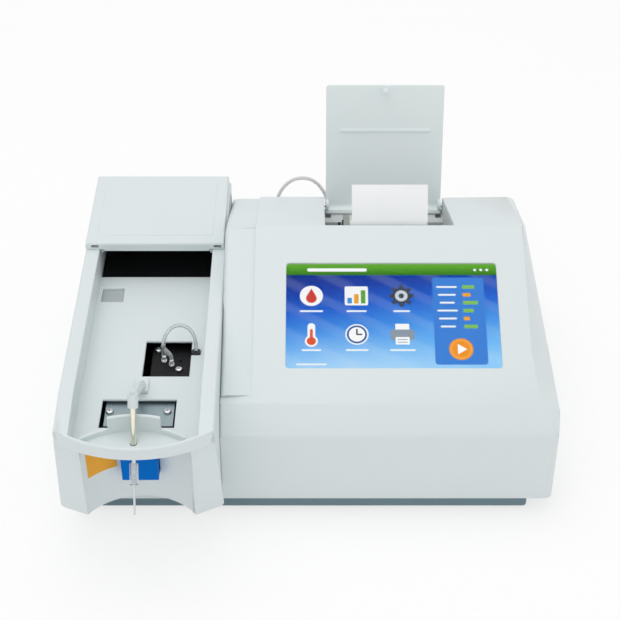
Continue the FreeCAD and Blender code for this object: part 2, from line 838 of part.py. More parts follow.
def build_paper():
    left = bay_centre - d.paper_width / 2
    roll = rod("X", (left, d.roll_y, roll_centre_z()), d.roll_radius, d.paper_width)
    core = rod("X", (left - 1, d.roll_y, roll_centre_z()), d.roll_core, d.paper_width + 2)
    node(cut(roll, core), "paper_roll")
    # The strip leaves the top of the roll, passes under and in front of the platen and
    # stands up out of the slit.
    x = number(left)
    thickness = number(d.paper_thickness)
    bend = number(d.platen_radius) + 2 * thickness
    platen = Vector(x, number(d.platen_y), number(d.platen_z))
    start = Vector(x, number(d.roll_y) - 4, 0)
    start.z = number(roll_centre_z()) + math.sqrt((number(d.roll_radius) + 0.4) ** 2 - 16)
    reach = start - platen
    slope = math.atan2(reach.z, reach.y) + math.asin(bend / reach.Length)
    nip = platen.y - bend
    corner = Vector(x, nip, start.z - (start.y - nip) * math.tan(slope))
    slit = number(d.bay_front) + 1.1
    points = [start, corner]
    for y, up in ((nip, 6), (slit, 18), (slit, 28), (slit + 1.5, 36), (slit + 5, 44),
                  (slit + 10.5, 52), (slit + 16, 58)):
        points.append(Vector(x, y, platen.z + up))
    bends = [bend] + [None] * (len(points) - 3)
    path = rounded_path(points, 0.42, bends)[0]
    half = Vector(0, 0, thickness / 2)
    across = Vector(number(d.paper_width), 0, 0)
    edge = Part.makePolygon([start - half, start + across - half, start + across + half,
                             start + half, start - half])
    strip = unique("Part::Feature", "paper_strip")
    strip.Shape = path.makePipeShell([edge], True, False)
    node(strip, "paper_strip")


# Printer cover, standing open on its stop

def build_printer_cover():
    """Drawn upright about its pins on the X axis, outer face to the back, then leaned."""
    half = d.lid_width / 2
    outer = d.lid_knuckle + d.lid_thickness
    body = new_body("lid_blank")
    pad(body, "YZ", -half, half, rectangle(d.lid_knuckle, outer, 0.0, d.lid_length))
    extrude(body, ring_profile(body, "YZ", -half, (0.0, 0.0), outer), d.lid_width)
    dig(body, ring_profile(body, "YZ", half + 1, (0.0, 0.0), d.lid_knuckle), d.lid_width + 2)
    # Of the sleeve about the pins only the lower quarter stays, as a rolled edge.
    pocket(body, "YZ", -half - 1, half + 1, (
        (0.0, 0.0), (d.lid_knuckle - 0.01, 0.0), (d.lid_knuckle - 0.01, outer + 1),
        (-outer - 1, outer + 1), (-outer - 1, -outer - 1), (-outer / 4, -outer - 1)))
    arms = []
    for x in (-half, half - d.knuckle_width):
        disc = rod("X", (x, 0, 0), d.lid_knuckle, d.knuckle_width)
        web = box((x, x + d.knuckle_width), (0, outer - 0.5), (-d.lid_knuckle + 1, d.lid_knuckle))
        arms.append(fuse(disc, web))
    ribs = [box((-36.0, 37.0), (outer - d.lid_thickness - 0.8, outer - d.lid_thickness + 0.2),
                (d.lid_length * 0.63, d.lid_length * 0.63 + 1.2))]
    bores = rod("X", (-half - 1, 0, 0), d.lid_pin_radius + d.run_gap, d.lid_width + 2)
    socket = rod("Y", (0, outer - d.lid_thickness - 1, d.lid_length - d.peg_inset),
                 d.peg_radius - 0.5, d.lid_thickness * 0.6 + 1)
    leaf = cut(fuse(body, *arms, *ribs), bores, socket)
    peg = fuse(rod("Y", (0, outer - d.lid_thickness - d.peg_length, d.lid_length - d.peg_inset),
                   d.peg_radius, d.peg_length - 0.05),
               rod("Y", (0, outer - d.lid_thickness - 1, d.lid_length - d.peg_inset),
                   d.peg_radius - 0.55, d.lid_thickness * 0.5 + 1))
    turn = Rotation(Vector(1, 0, 0), -number(d.lid_lean))
    for thing, name in ((leaf, "printer_cover"), (peg, "cover_peg")):
        place(thing, bay_centre, d.lid_pivot_y, d.lid_pivot_z, turn)
        node(thing, name)
    pins = []
    for x, direction in ((tub_left + d.seat_gap, 1), (tub_right - d.seat_gap, -1)):
        length = d.bay_wall + 1.5 + d.knuckle_width
        start = x if direction == 1 else x - length
        pins.append(rod("X", (start, d.lid_pivot_y, d.lid_pivot_z), d.lid_pin_radius, length))
    node(group(*pins), "hinge_pins")


# Sampling module

well_left = d.module_left + d.rail_width
well_right = d.module_right - d.rail_width
lip_x = (d.module_left + d.module_right) / 2
lip_y = d.lip_front + d.lip_radius
deck_under = d.deck_level - d.wall
inner_lip_radius = d.lip_radius - d.wall


def on_arc(radius, x):
    """How far forward an arc about the lip's centre reaches at a place across."""
    offset = x - lip_x
    return lip_y - root(radius * radius - offset * offset)


def nose_outline(forward, inset):
    """The nose in plan: its outer corners, the tips beside the concave panel, its back."""
    return (
        (d.module_left - forward + inset, -130 + inset),
        (-157 + inset * 0.3, -139 + inset),
        (-80 - inset * 0.3, -139 + inset),
        (d.module_right + forward * 0.6 - inset, -129 + inset),
        (d.module_right - inset, d.cover_front - 0.5 + inset * 3),
        (d.module_left + inset, -60.0),
    )


def nose_top_outline(inset):
    return (
        (d.module_left - 0.8 + inset, -144.7 + inset),
        (-157 + inset * 0.3, -145.5 + inset),
        (-80 - inset * 0.3, -145.5 + inset),
        (d.module_right - 0.4 - inset, -144.5 + inset),
        (d.module_right - inset, d.cover_front - 0.5 + inset * 3),
        (d.module_left + inset, -60.0),
    )


def panel_tool(radius):
    """The leaning cylinder that the concave front panel follows."""
    lean = 5.04
    base = 10.0
    tool = rod("Z", (d.panel_x, d.panel_crown - d.panel_radius + base * math.tan(math.radians(lean)),
                     d.nose_bottom - base), radius, deck_under - 4.0 - d.nose_bottom + base)
    tool.Placement = Placement(tool.Placement.Base, Rotation(Vector(1, 0, 0), lean))
    return tool


def build_module_shell():
    body = new_body("module_blank")
    pad(body, "XY", d.skirt_level, d.rail_level,
        rectangle(d.module_left, d.module_right, d.cover_front, d.cover_back))
    lip_under = d.lip_level - 9.5
    loft(body, [profile(body, "XY", d.nose_bottom, nose_outline(5.0, 0)),
                profile(body, "XY", lip_under, nose_top_outline(0))])
    pad(body, "XY", lip_under, d.rail_level, (
        (d.module_left, d.cover_front), (d.module_left, on_arc(d.lip_radius, d.module_left)),
        (d.module_right, on_arc(d.lip_radius, d.module_right)), (d.module_right, d.cover_front)),
        {1: (d.lip_radius, 1)})
    fall = -112.0
    pocket(body, "YZ", d.module_left - 6, d.module_right + 6, (
        (fall, d.rail_level), (d.lip_front - 1, d.lip_level), (d.lip_front - 1, d.rail_level + 1),
        (fall, d.rail_level + 1)))
    pocket(body, "XY", d.deck_level, d.rail_level, (
        (well_left, cover_inner_back), (well_left, on_arc(inner_lip_radius, well_left)),
        (well_right, on_arc(inner_lip_radius, well_right)), (well_right, cover_inner_back)),
        {1: (inner_lip_radius, 1)})
    # The hollow below the deck, and the same in the nose behind the concave panel.
    hollow = new_body("module_hollow")
    pad(hollow, "XY", d.skirt_level - 1, deck_under,
        rectangle(module_inner_left, module_inner_right, cover_inner_front, cover_inner_back))
    loft(hollow, [profile(hollow, "XY", d.nose_bottom + d.wall, nose_outline(5.0, d.wall)),
                  profile(hollow, "XY", deck_under, nose_top_outline(d.wall))])
    cavity = cut(hollow, panel_tool(d.panel_radius + d.wall))
    rear_well = box((well_left, well_right), (d.deck_back, cover_inner_back),
                    (deck_under - 1, d.rail_level + 1))
    rails = [box((low, high), (cover_inner_front, cover_inner_back),
                 (deck_under - 1, d.rail_level - d.wall))
             for low, high in ((module_inner_left, well_left - d.wall),
                               (well_right + d.wall, module_inner_right))]
    windows = [
        box((d.cell_window_left, d.cell_window_right), (d.cell_window_front, d.cell_window_back),
            (deck_under - 1, d.deck_level + 1)),
        box((d.cell_window_right - 1, d.cell_window_right + 6.6), (-46.2, -41.0),
            (deck_under - 1, d.deck_level + 1)),
        box((d.bracket_window_left, d.bracket_window_right),
            (d.bracket_window_front, d.bracket_window_back), (deck_under - 1, d.deck_level + 1)),
        box((d.key_left - d.joint_gap, d.key_left + d.key_width + d.joint_gap), (-142.0, -112.0),
            (d.key_bottom - d.joint_gap, d.key_bottom + d.key_height + d.joint_gap)),
    ]
    side_gate = box((module_inner_right - 1, d.module_right + 1),
                    (cover_inner_front, cover_inner_back), (d.skirt_level - 1, pan_flange_top + 0.5))
    shell = cut(body, panel_tool(d.panel_radius), cavity, rear_well, *rails, *windows,
                side_gate, cable_gate(), needle_rod(d.sleeve_radius + d.joint_gap, 20.0, 60.0))
    cup = box((-160.0, -140.5), (15.2, 35.1), (deck_under - 7, deck_under + 1))
    cup_hollow = box((-158.5, -142.0), (16.7, 33.6), (deck_under - 5.5, d.deck_level + 1))
    blocks = []
    holes = []
    for x, y in case_screw_places()[2:]:
        blocks.append(corner_block((module_inner_left - 1, x + 6), y))
        holes.append(screw_hole(x, y, pan_flange_top - 1, pan_flange_top + 10))
    node(cut(fuse(shell, cup, *blocks), cup_hollow, *holes), "module_shell")


def cable_gate():
    """The opening for wires and hoses through the walls between the two housings."""
    return box((d.module_right - 6, d.cover_left + 6), (-40.0, 60.0), (25.0, 60.0))


tray_gap = d.joint_gap
tray_arc_y = -192.0
tray_arc = 62.0


def build_drip_tray():
    body = new_body("tray_blank")
    rim = inner_lip_radius - tray_gap
    base = d.deck_level + d.seat_gap
    floor = d.tray_floor
    sketch = profile(body, "YZ", 0.0, (
        (-rim, d.lip_level - 6), (-rim, floor + 1.5), (-rim + 5.4, base), (-40.0, base),
        (-40.0, floor), (-rim + 5.2, floor), (-rim + 2.0, floor + 3.2), (-rim + 2.0, d.lip_level - 6)))
    turn = body.newObject("PartDesign::Revolution", "rim")
    turn.Profile = sketch
    axis = next(item for item in body.Origin.OriginFeatures if item.Role == "Z_Axis")
    turn.ReferenceAxis = (axis, [""])
    turn.Angle = 360
    doc.recompute()
    place(body, lip_x, lip_y, 0)
    lens = rod("Z", (d.panel_x, tray_arc_y, base - 1), tray_arc, 30)
    dish = common(body, lens)
    back = cut(rod("Z", (d.panel_x, tray_arc_y, base), tray_arc, 18.0),
               rod("Z", (d.panel_x, tray_arc_y, base - 1), tray_arc - d.wall, 20.0))
    inside = rod("Z", (lip_x, lip_y, base), rim, 18.0)
    high = box((-137.0, -101.0), (-160, -125), (base, d.lip_level + 2))
    low = box((-156.0, -84.0), (-160, -125), (base, floor + 4))
    wall = common(common(back, fuse(high, low)), inside)
    hole = needle_rod(d.sleeve_radius + d.joint_gap, 20.0, 60.0)
    between = box((well_left + tray_gap, well_right - tray_gap), (-170.0, -120.0),
                  (base - 1, d.lip_level + 4))
    node(cut(common(fuse(dish, wall), between), hole), "drip_tray")


# Sliding cover of the module

def build_sliding_cover():
    left = d.module_left
    right = d.module_right - 1.8
    front = d.slider_front
    back = d.cover_back
    low = d.rail_level + d.joint_gap
    skin = d.slider_wall
    block = box((left, right), (front, back), (low, d.slider_top))
    hollow = box((left + skin, right - skin), (front + skin, back - skin), (low - 1, d.slider_top - skin))
    lip = box((well_left + 3.3, well_right - 2.3), (front, front + skin),
              (d.rail_level - d.slider_lip_drop, d.slider_top - skin))
    ribs = [box((x, x + 2), (front + 4, back - 4), (d.rail_level - 6, d.slider_top - skin + 0.5))
            for x in (well_left + d.joint_gap, well_right - d.joint_gap - 2)]
    slots = [box((x, x + 5.6), (front - 1, front + skin + 1), (low + 1.2, low + 3.7))
             for x in (left + 4.5, right - 7.8)]
    node(cut(fuse(cut(block, hollow), lip, *ribs), *slots), "sliding_cover")


# Needle line: everything on one inclined axis from the apex down to the tip

def needle_rod(radius, start, length):
    """A cylinder on the needle's axis, from a distance below the apex."""
    y = d.apex_y - start * sine(d.needle_tilt)
    z = d.apex_z - start * cosine(d.needle_tilt)
    tool = rod("Z", (d.needle_x, y, z), radius, length)
    tool.Placement = Placement(tool.Placement.Base,
                               Rotation(Vector(1, 0, 0), 180 - number(d.needle_tilt)))
    return tool


def build_needle():
    gap = d.run_gap
    node(cut(needle_rod(d.sleeve_radius, 0, d.sleeve_length),
             needle_rod(d.needle_radius + gap, -1, d.sleeve_length + 2)), "needle_sleeve")
    shaft = needle_rod(d.needle_radius, 0.5, d.holder_start + d.holder_length)
    tip = needle_rod(d.tip_radius, d.holder_start, d.needle_length - d.holder_start)
    bore = needle_rod(d.tip_radius - 0.4, d.holder_start, d.needle_length)
    node(cut(fuse(shaft, tip), bore), "aspiration_needle")
    node(cut(needle_rod(d.holder_radius, d.holder_start, d.holder_length),
             needle_rod(d.needle_radius + gap, d.holder_start - 1, d.holder_length + 2)),
         "needle_holder")
    # The white guide that carries the needle from the deck.
    foot = box((d.needle_x - 5, d.needle_x + 5), (-89.5, -76.0),
               (d.deck_level + d.seat_gap, d.deck_level + 3))
    start = Vector(number(d.needle_x), -82.5, 103.0)
    end = Vector(number(d.needle_x), number(d.apex_y) + 2.2, number(d.apex_z) - 1)
    arm = unique("Part::Cylinder", "arm")
    arm.Radius = 3.1
    arm.Height = (end - start).Length
    arm.Placement = Placement(start, Rotation(Vector(0, 0, 1), end - start))
    collar = needle_rod(d.sleeve_radius + 1.6, -1.0, 9.0)
    node(cut(fuse(foot, arm, collar), needle_rod(d.sleeve_radius + gap, -3, 20)), "needle_guide")


# Bracket under the deck, with its two screws

def build_bracket():
    top = deck_under - 1.5
    plate_x = (d.bracket_window_left + 2.2, d.bracket_window_right - 1.4)
    plate = box(plate_x, (d.bracket_window_front + 5.5, d.bracket_window_back + 8.5), (top - 1.5, top))
    web = box(plate_x, (-88.0, -86.5), (pan_bottom + d.wall + d.seat_gap, top))
    foot = box(plate_x, (-88.0, -76.0),
               (pan_bottom + d.wall + d.seat_gap, pan_bottom + d.wall + d.seat_gap + 1.5))
    places = ((d.bracket_window_left + 5.4, -104.0), (d.bracket_window_right - 6.0, -104.0))
    holes = [screw_hole(x, y, top - 3, top + 1) for x, y in places]
    holes.append(rod("Z", (-d.foot_x, d.foot_front, pan_bottom), d.foot_stem_radius + 1, 8.0))
    lower = box((plate_x[0] + 20, plate_x[1] - 20), (-89.0, -85.0), (22.0, 50.0))
    node(cut(fuse(plate, web, foot), lower, *holes), "needle_bracket")
    return [screw(x, y, top, 5.0) for x, y in places]


# Trigger key behind the needle

def build_trigger():
    right = d.key_left + d.key_width
    flange_front = -119.4
    flange_back = -117.2
    key = box((d.key_left, right), (d.key_face, flange_back),
              (d.key_bottom, d.key_bottom + d.key_height))
    flange = box((d.key_left - 3, right + 3), (flange_front, flange_back),
                 (d.key_bottom - 3, d.key_bottom + d.key_height + 1.9))
    plunger = box((d.needle_x - 3, d.needle_x + 3), (flange_back, -112.4), (73.0, 79.0))
    node(fuse(key, flange, plunger), "trigger_key")
    switch = box((d.needle_x - 5, d.needle_x + 5), (-109.0, -88.1), (70.0, 82.0))
    node(switch, "trigger_switch")
    coil_radius = 3.6
    wire = 0.45
    front = flange_back + wire + 0.1
    length = -88.1 - wire - front
    turns = 7
    corners = 8
    reach = coil_radius / math.cos(math.pi / corners)
    points = []
    for index in range(turns * corners + 1):
        angle = 2 * math.pi * index / corners
        points.append(Vector(number(d.needle_x) + reach * math.cos(angle),
                             front + length * index / (turns * corners),
                             64.0 + reach * math.sin(angle)))
    spring = unique("Part::Feature", "trigger_spring")
    spring.Shape = tube(points, wire, 0.49)[0]
    node(spring, "trigger_spring")


def build_patch():
    """A thin amber sticker that lies on the concave panel."""
    thin = 0.25
    ring = cut(panel_tool(d.panel_radius - d.seat_gap), panel_tool(d.panel_radius - d.seat_gap - thin))
    region = box((-153.4, -134.8), (-150, -118), (65.0, 92.0))
    node(common(ring, region), "amber_patch")


# Optics under the deck

base_low = pan_flange_top + 0.5
base_top = base_low + 4
tube_a = (-100.6, -48.0)
tube_b = (-106.4, -43.4)


def build_optics():
    plate = box((-155.0, -80.0), (-74.0, 138.0), (base_low, base_top))
    legs = [rod("Z", (x, y, pan_bottom + d.wall + d.seat_gap), 5.0, base_low - 5.0)
            for x in (-150.0, -90.0) for y in (-66.0, 130.0)]
    node(fuse(plate, *legs), "optics_base")
    seat = base_top + d.seat_gap
    beam = rod("Y", (d.light_x, -100, d.light_level), d.light_bore, 240)
    block = box((d.cell_block_left, d.cell_window_right + 0.3), (-72.0, -26.0), (seat, d.cell_block_top))
    cell_hole = rod("Z", (d.light_x, -48.0, seat - 1), d.cell_radius + d.joint_gap,
                    d.cell_block_top - 4 - seat)
    places = ((-111.3, -32.0), (-95.0, -54.0))
    holes = [rod("Z", (x, y, d.cell_block_top - 9), d.screw_radius + d.run_gap, 10) for x, y in places]
    holes.append(rod("Z", (-94.5, -44.0, d.cell_block_top - 3), 0.9, 4))
    node(cut(block, cell_hole, beam, *holes), "flow_cell_block")
    screws = [screw(x, y, d.cell_block_top, 8.0) for x, y in places]
    cell = rod("Z", (d.light_x, -48.0, seat + 0.2), d.cell_radius, d.cell_block_top - 6.5 - seat)
    channel = rod("Z", (d.light_x, -48.0, d.light_level - 8), 1.0, 40)
    node(cut(cell, channel), "flow_cell")
    barbs = []
    for x, y in (tube_a, tube_b):
        collar = rod("Z", (x, y, d.cell_block_top + d.seat_gap), 2.1, 1.2)
        barbs.append(fuse(collar, rod("Z", (x, y, d.cell_block_top + d.seat_gap), 1.6, 4.0)))
    node(group(*barbs), "cell_fittings")
    cuvette = box((-118.0, -83.0), (88.0, 114.0), (seat, 94.0))
    well = box((d.light_x - 6.3, d.light_x + 6.3), (94.7, 107.3), (50.0, 95.0))
    beam_two = rod("Y", (d.light_x, -100, d.light_level), d.light_bore, 240)
    node(cut(cuvette, well, beam_two), "cuvette_block")
    deck = box((well_left + 0.3, well_right - 0.3), (d.deck_back + 0.6, cover_inner_back - 0.3),
               (94.1, 96.6))
    deck_hole = box((d.light_x - 6.3, d.light_x + 6.3), (94.7, 107.3), (93.0, 98.0))
    node(cut(deck, deck_hole), "rear_deck")
    housing = box((-120.0, -81.0), (118.0, 140.0), (seat, 90.0))
    socket = rod("Y", (d.light_x, 117.0, d.light_level), 10.0, 19.0)
    node(cut(housing, socket), "lamp_housing")
    lamp_base = rod("Y", (d.light_x, 130.9, d.light_level), 10.0 - d.run_gap, 5.0)
    bulb = rod("Y", (d.light_x, 122.0, d.light_level), 5.0, 10.0)
    node(fuse(lamp_base, bulb), "lamp")
    board = box((-116.0, -85.0), (-77.6, -76.0), (48.0, 84.0))
    can = rod("Y", (d.light_x, -76.5, d.light_level), 4.0, 4.0)
    studs = [rod("Y", (x, -76.5, z), 2.0, 4.4) for x in (-113.0, -88.5) for z in (51.0, 81.0)]
    node(fuse(board, can, *studs), "detector_board")
    return screws


def build_filter_wheel():
    x = d.light_x - 21.0
    z = d.light_level
    disc = rod("Y", (x, 62.0, z), 27.0, 4.0)
    shaft = rod("Y", (x, 50.0, z), d.platen_shaft_radius, 15.0)
    holes = []
    filters = []
    for index in range(8):
        angle = math.radians(index * 45.0)
        u = x + 21.0 * math.cos(angle)
        v = z + 21.0 * math.sin(angle)
        holes.append(rod("Y", (u, 61.0, v), 5.0, 6.0))
        filters.append(rod("Y", (u, 62.5, v), 5.0 - d.run_gap, 3.0))
    node(cut(fuse(disc, shaft), *holes), "filter_wheel")
    node(group(*filters), "filter_glasses")
    motor = box((x - 17.5, x + 17.5), (30.0, 58.5), (z - 17.5, z + 17.5))
    foot = box((x - 10, x + 10), (34.0, 54.0), (base_top + d.seat_gap, z - 17.0))
    bore = rod("Y", (x, 49.0, z), d.platen_shaft_radius + d.run_gap, 10.0)
    node(cut(fuse(motor, foot), bore), "filter_motor")


def build_pump():
    x = -142.0
    z = 50.0
    seat = base_top + d.seat_gap
    housing = box((x - 17.5, x + 17.5), (-16.0, 2.0), (seat, z + 19))
    cavity = rod("Y", (x, -17.0, z), 16.3, 14.0)
    shaft_bore = rod("Y", (x, -10.0, z), d.platen_shaft_radius + d.run_gap, 14.0)
    ports = [box((u - 1.6, u + 1.6), (-12.0, -8.8), (z, z + 20)) for u in (x - 13.5, x + 13.5)]
    node(cut(housing, cavity, shaft_bore, *ports), "pump_housing")
    rotor_disc = rod("Y", (x, -14.0, z), 8.0, 10.0)
    rollers = []
    for index in range(3):
        angle = math.radians(90 + index * 120.0)
        rollers.append(rod("Y", (x + 10.2 * math.cos(angle), -14.0, z + 10.2 * math.sin(angle)), 4.0, 10.0))
    shaft = rod("Y", (x, -14.0, z), d.platen_shaft_radius, 24.0)
    node(fuse(rotor_disc, *rollers, shaft), "pump_rotor")
    motor = rod("Y", (x, 2.1, z), 14.0, 26.0)
    foot = box((x - 8, x + 8), (6.0, 24.0), (seat, z - 8))
    bore = rod("Y", (x, 1.0, z), d.platen_shaft_radius + d.run_gap, 11.0)
    node(cut(fuse(motor, foot), bore), "pump_motor")


# Electronics on the pan, and the rear panel

def build_electronics():
    floor = pan_bottom + d.wall + d.seat_gap
    low = floor + 6.5
    board = box((12.0, 148.0), (-84.0, 24.0), (low, low + 1.6))
    chips = [box((60.0, 84.0), (-46.0, -22.0), (low + 1.5, low + 4.2)),
             box((95.0, 113.0), (-40.0, -28.0), (low + 1.5, low + 3.4)),
             box((26.0, 44.0), (-60.0, -30.0), (low + 1.5, low + 10.0)),
             box((60.0, 120.0), (12.0, 20.0), (low + 1.5, low + 9.0)),
             rod("Z", (130.0, -50.0, low + 1.5), 5.0, 12.0),
             rod("Z", (130.0, -34.0, low + 1.5), 5.0, 12.0)]
    node(fuse(board, *chips), "main_board")
    body = new_body("power_supply")
    pad(body, "XY", floor, floor + 38, rectangle(58.0, 148.0, 34.0, 118.0))
    slot = profile(body, "XY", floor + 38, rectangle(64.0, 67.0, 48.0, 104.0))
    groove = dig(body, slot, 1.2)
    rows = body.newObject("PartDesign::LinearPattern", "vents")
    rows.Originals = [groove]
    rows.Direction = (slot, ["H_Axis"])
    rows.Length = 72.0
    rows.Occurrences = 13
    body.Tip = rows
    node(body, "power_supply")


def about(x, z, half_width, half_height, y_span):
    """A block about a point of the rear panel, by half its width and half its height."""
    return box((x - half_width, x + half_width), y_span, (z - half_height, z + half_height))


def build_rear():
    front = cover_inner_back - d.seat_gap - d.rear_plate
    back = cover_inner_back - d.seat_gap
    through = (front - 1, back + 1)
    seated = back + d.seat_gap
    z = d.port_z
    plate = box((d.rear_left - 4, d.rear_right + 3), (front, back), (d.rear_bottom - 3, d.rear_top + 3))
    cuts = [about(d.inlet_x, z, 14.2, 10.2, through), about(d.switch_x, z, 10.2, 7.2, through),
            about(d.serial_x, z, 9.2, 5.2, through), about(d.usb_x, z, 6.7, 3.2, through)]
    for index in range(-4, 5):
        half = math.sqrt(22.0 ** 2 - (index * 4.6) ** 2)
        cuts.append(about(d.fan_x + index * 4.6, d.fan_z, 1.4, half, through))
    for x in (d.hose_left, d.hose_right):
        cuts.append(rod("Y", (x, front - 1, d.hose_z), 2.1, d.rear_plate + 2))
    node(cut(plate, *cuts), "rear_panel")
    build_fan(front - d.seat_gap)
    # Power inlet, with its recess and three blades.
    inlet = cut(fuse(about(d.inlet_x, z, 16.5, 12.5, (seated, back + 2)),
                     about(d.inlet_x, z, 14, 10, (120.0, back + 1))),
                about(d.inlet_x, z, 12, 8, (126.0, back + 3)))
    blades = [about(d.inlet_x + x, z + up, 1, 2, (125.0, 137.0))
              for x, up in ((-7, -1.5), (0, 2.0), (7, -1.5))]
    node(fuse(inlet, *blades), "power_inlet")
    # Rocker switch.
    housing = fuse(about(d.switch_x, z, 12, 9, (seated, back + 2)),
                   about(d.switch_x, z, 10, 7, (126.0, back + 1)))
    recess = about(d.switch_x, z, 8.6, 5.6, (131.0, back + 3))
    pin_hole = rod("Z", (d.switch_x, 139.5, z - 6.6), 1.05, 13.2)
    node(cut(housing, recess, pin_hole), "switch_housing")
    rocker = new_body("rocker_blank")
    pad(rocker, "XY", -5.2, 5.2, ((-8.0, -1.5), (8.0, -1.5), (8.0, 3.4), (0.0, 4.6), (-8.0, 3.4)))
    pin = rod("Z", (0, 0, -6.3), 1.0, 12.6)
    paddle = fuse(rocker, pin)
    place(paddle, d.switch_x, 139.5, z, Rotation(Vector(0, 0, 1), 8))
    node(paddle, "rocker_switch")
    # Serial and data ports.
    port = fuse(about(d.serial_x, z, 15, 6, (seated, back + 1.4)),
                about(d.serial_x, z, 9, 5, (132.0, back + 4.5)))
    node(cut(port, about(d.serial_x, z, 8, 4, (back - 2, back + 6))), "serial_port")
    port = fuse(about(d.usb_x, z, 8, 4.4, (seated, back + 1)),
                about(d.usb_x, z, 6.5, 3, (130.0, back + 2.4)))
    tongue = about(d.usb_x, z + 0.8, 5, 0.6, (133.0, back))
    node(fuse(cut(port, about(d.usb_x, z, 5.7, 2.2, (134.0, back + 4))), tongue), "data_port")
    # Elbow fittings for the hose loop.
    elbows = []
    for x in (d.hose_left, d.hose_right):
        neck = rod("Y", (x, front - 3, d.hose_z), 2.0, d.hose_y - front + 5)
        flange = rod("Y", (x, seated, d.hose_z), 4.5, 1.6)
        nut = rod("Y", (x, front - 3.4, d.hose_z), 3.8, 3.3)
        barb = rod("Z", (x, d.hose_y, d.hose_z - 2), 2.0, 8)
        collar = rod("Z", (x, d.hose_y, d.hose_z + 6), d.hose_radius, 4.0)
        elbows.append(fuse(neck, flange, nut, barb, collar))
    node(group(*elbows), "hose_fittings")


def build_fan(fan_back):
    half = d.fan_size / 2
    fan_front = fan_back - d.fan_depth
    frame = about(d.fan_x, d.fan_z, half, half, (fan_front, fan_back))
    ring = rod("Y", (d.fan_x, fan_front - 1, d.fan_z), half - 1.5, d.fan_depth + 2)
    hub = rod("Y", (d.fan_x, fan_front, d.fan_z), 9.0, 2.0)
    spokes = [about(d.fan_x, d.fan_z, half - 1, 1.2, (fan_front, fan_front + 1.6)),
              about(d.fan_x, d.fan_z, 1.2, half - 1, (fan_front, fan_front + 1.6))]
    bore = rod("Y", (d.fan_x, fan_front - 1, d.fan_z), 1.5 + d.run_gap, 4)
    node(cut(fuse(cut(frame, ring), hub, *spokes), bore), "fan_frame")
    rotor_hub = rod("Y", (d.fan_x, fan_front + 2.4, d.fan_z), 9.0, d.fan_depth - 3.4)
    axle = rod("Y", (d.fan_x, fan_front + 0.2, d.fan_z), 1.5, 3.0)
    blades = []
    for index in range(7):
        blade = box((8.0, half - 2.6), (-0.7, 0.7), (-3.2, 3.2))
        blade.Placement = Placement(
            Vector(number(d.fan_x), number(fan_front) + 5.7, number(d.fan_z)),
            Rotation(Vector(0, 1, 0), index * 360.0 / 7)) * Placement(
            Vector(8.0, 0, 0), Rotation(Vector(1, 0, 0), 50)) * Placement(
            Vector(0, -0.7, -3.2), Rotation())
        blades.append(blade)
    node(fuse(rotor_hub, axle, *blades), "fan_rotor")


def build_hoses():
    top = number(d.hose_z) + 10.05
    y = number(d.hose_y)
    left = number(d.hose_left)
    right = number(d.hose_right)
    hose("rear_hose", [
        (left, y, top), (left - 0.9, y, top + 14), (left - 0.4, y + 0.4, top + 32),
        (left + 11.6, y + 0.6, top + 48.6), (right - 11, y + 0.6, top + 49.2),
        (right + 0.9, y + 0.4, top + 33), (right + 1.0, y, top + 15), (right, y, top)], d.hose_radius)
    hose("flow_hose", [
        (-106.4, -43.4, 106.6), (-105.0, -40.1, 114.1), (-97.5, -35.2, 119.2),
        (-87.5, -35.5, 117.3), (-82.7, -40.6, 109.7), (-82.8, -43.6, 101.8)], d.hose_radius)


def build_flow_tubes():
    """The clear branch piece on the cell's two fittings, and the clip in the deck's slot."""
    low = number(d.cell_block_top) + 4.15
    stem = rod("Z", (*tube_b, low), 1.7, 105.9 - low)
    points = [Vector(*tube_a, low), Vector(-100.8, -47.8, low + 4.4), Vector(-106.0, -43.7, low + 7.8)]
    branch = unique("Part::Feature", "branch")
    branch.Shape = tube(points, 1.5)[0]
    node(fuse(stem, branch), "branch_tube")
    x, y = -82.8, -43.6
    flange = rod("Z", (x, y, d.deck_level + d.seat_gap), 3.4, 0.9)
    node(fuse(rod("Z", (x, y, 94.0), 2.2, 6.5), flange, rod("Z", (x, y, 100.5), 1.6, 0.7)), "tube_clip")


build_feet()
build_base_pan()
build_main_cover()
build_screen()
build_printer_tub()
build_print_mechanism()
build_paper()
build_printer_cover()
build_module_shell()
build_drip_tray()
build_sliding_cover()
build_needle()
bracket_screws = build_bracket()
build_trigger()
build_patch()
block_screws = build_optics()
node(group(*case_screws(), *bracket_screws, *block_screws), "screws")
build_filter_wheel()
build_pump()
build_electronics()
build_rear()
build_hoses()
build_flow_tubes()


# Hand over the pieces

doc.recompute()
for thing in doc.Objects:
    if "Invalid" in thing.State or "Error" in thing.State:
        parts = [item.Label for item in thing.OutList]
        raise RuntimeError(f"{thing.Label} failed: {thing.State}, made from {parts}")
for thing in nodes:
    if thing.Shape.isNull() or not thing.Shape.isValid():
        raise RuntimeError(f"{thing.Label} has no valid shape")
for thing in nodes:
    thing.Shape.exportStep(os.path.join("parts", f"{thing.Label}.step"))
print(f"{len(nodes)} pieces written")
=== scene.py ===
import json
import math

import bmesh
import bpy
from mathutils import Matrix, Vector
from mathutils.bvhtree import BVHTree
from mathutils.geometry import intersect_point_line

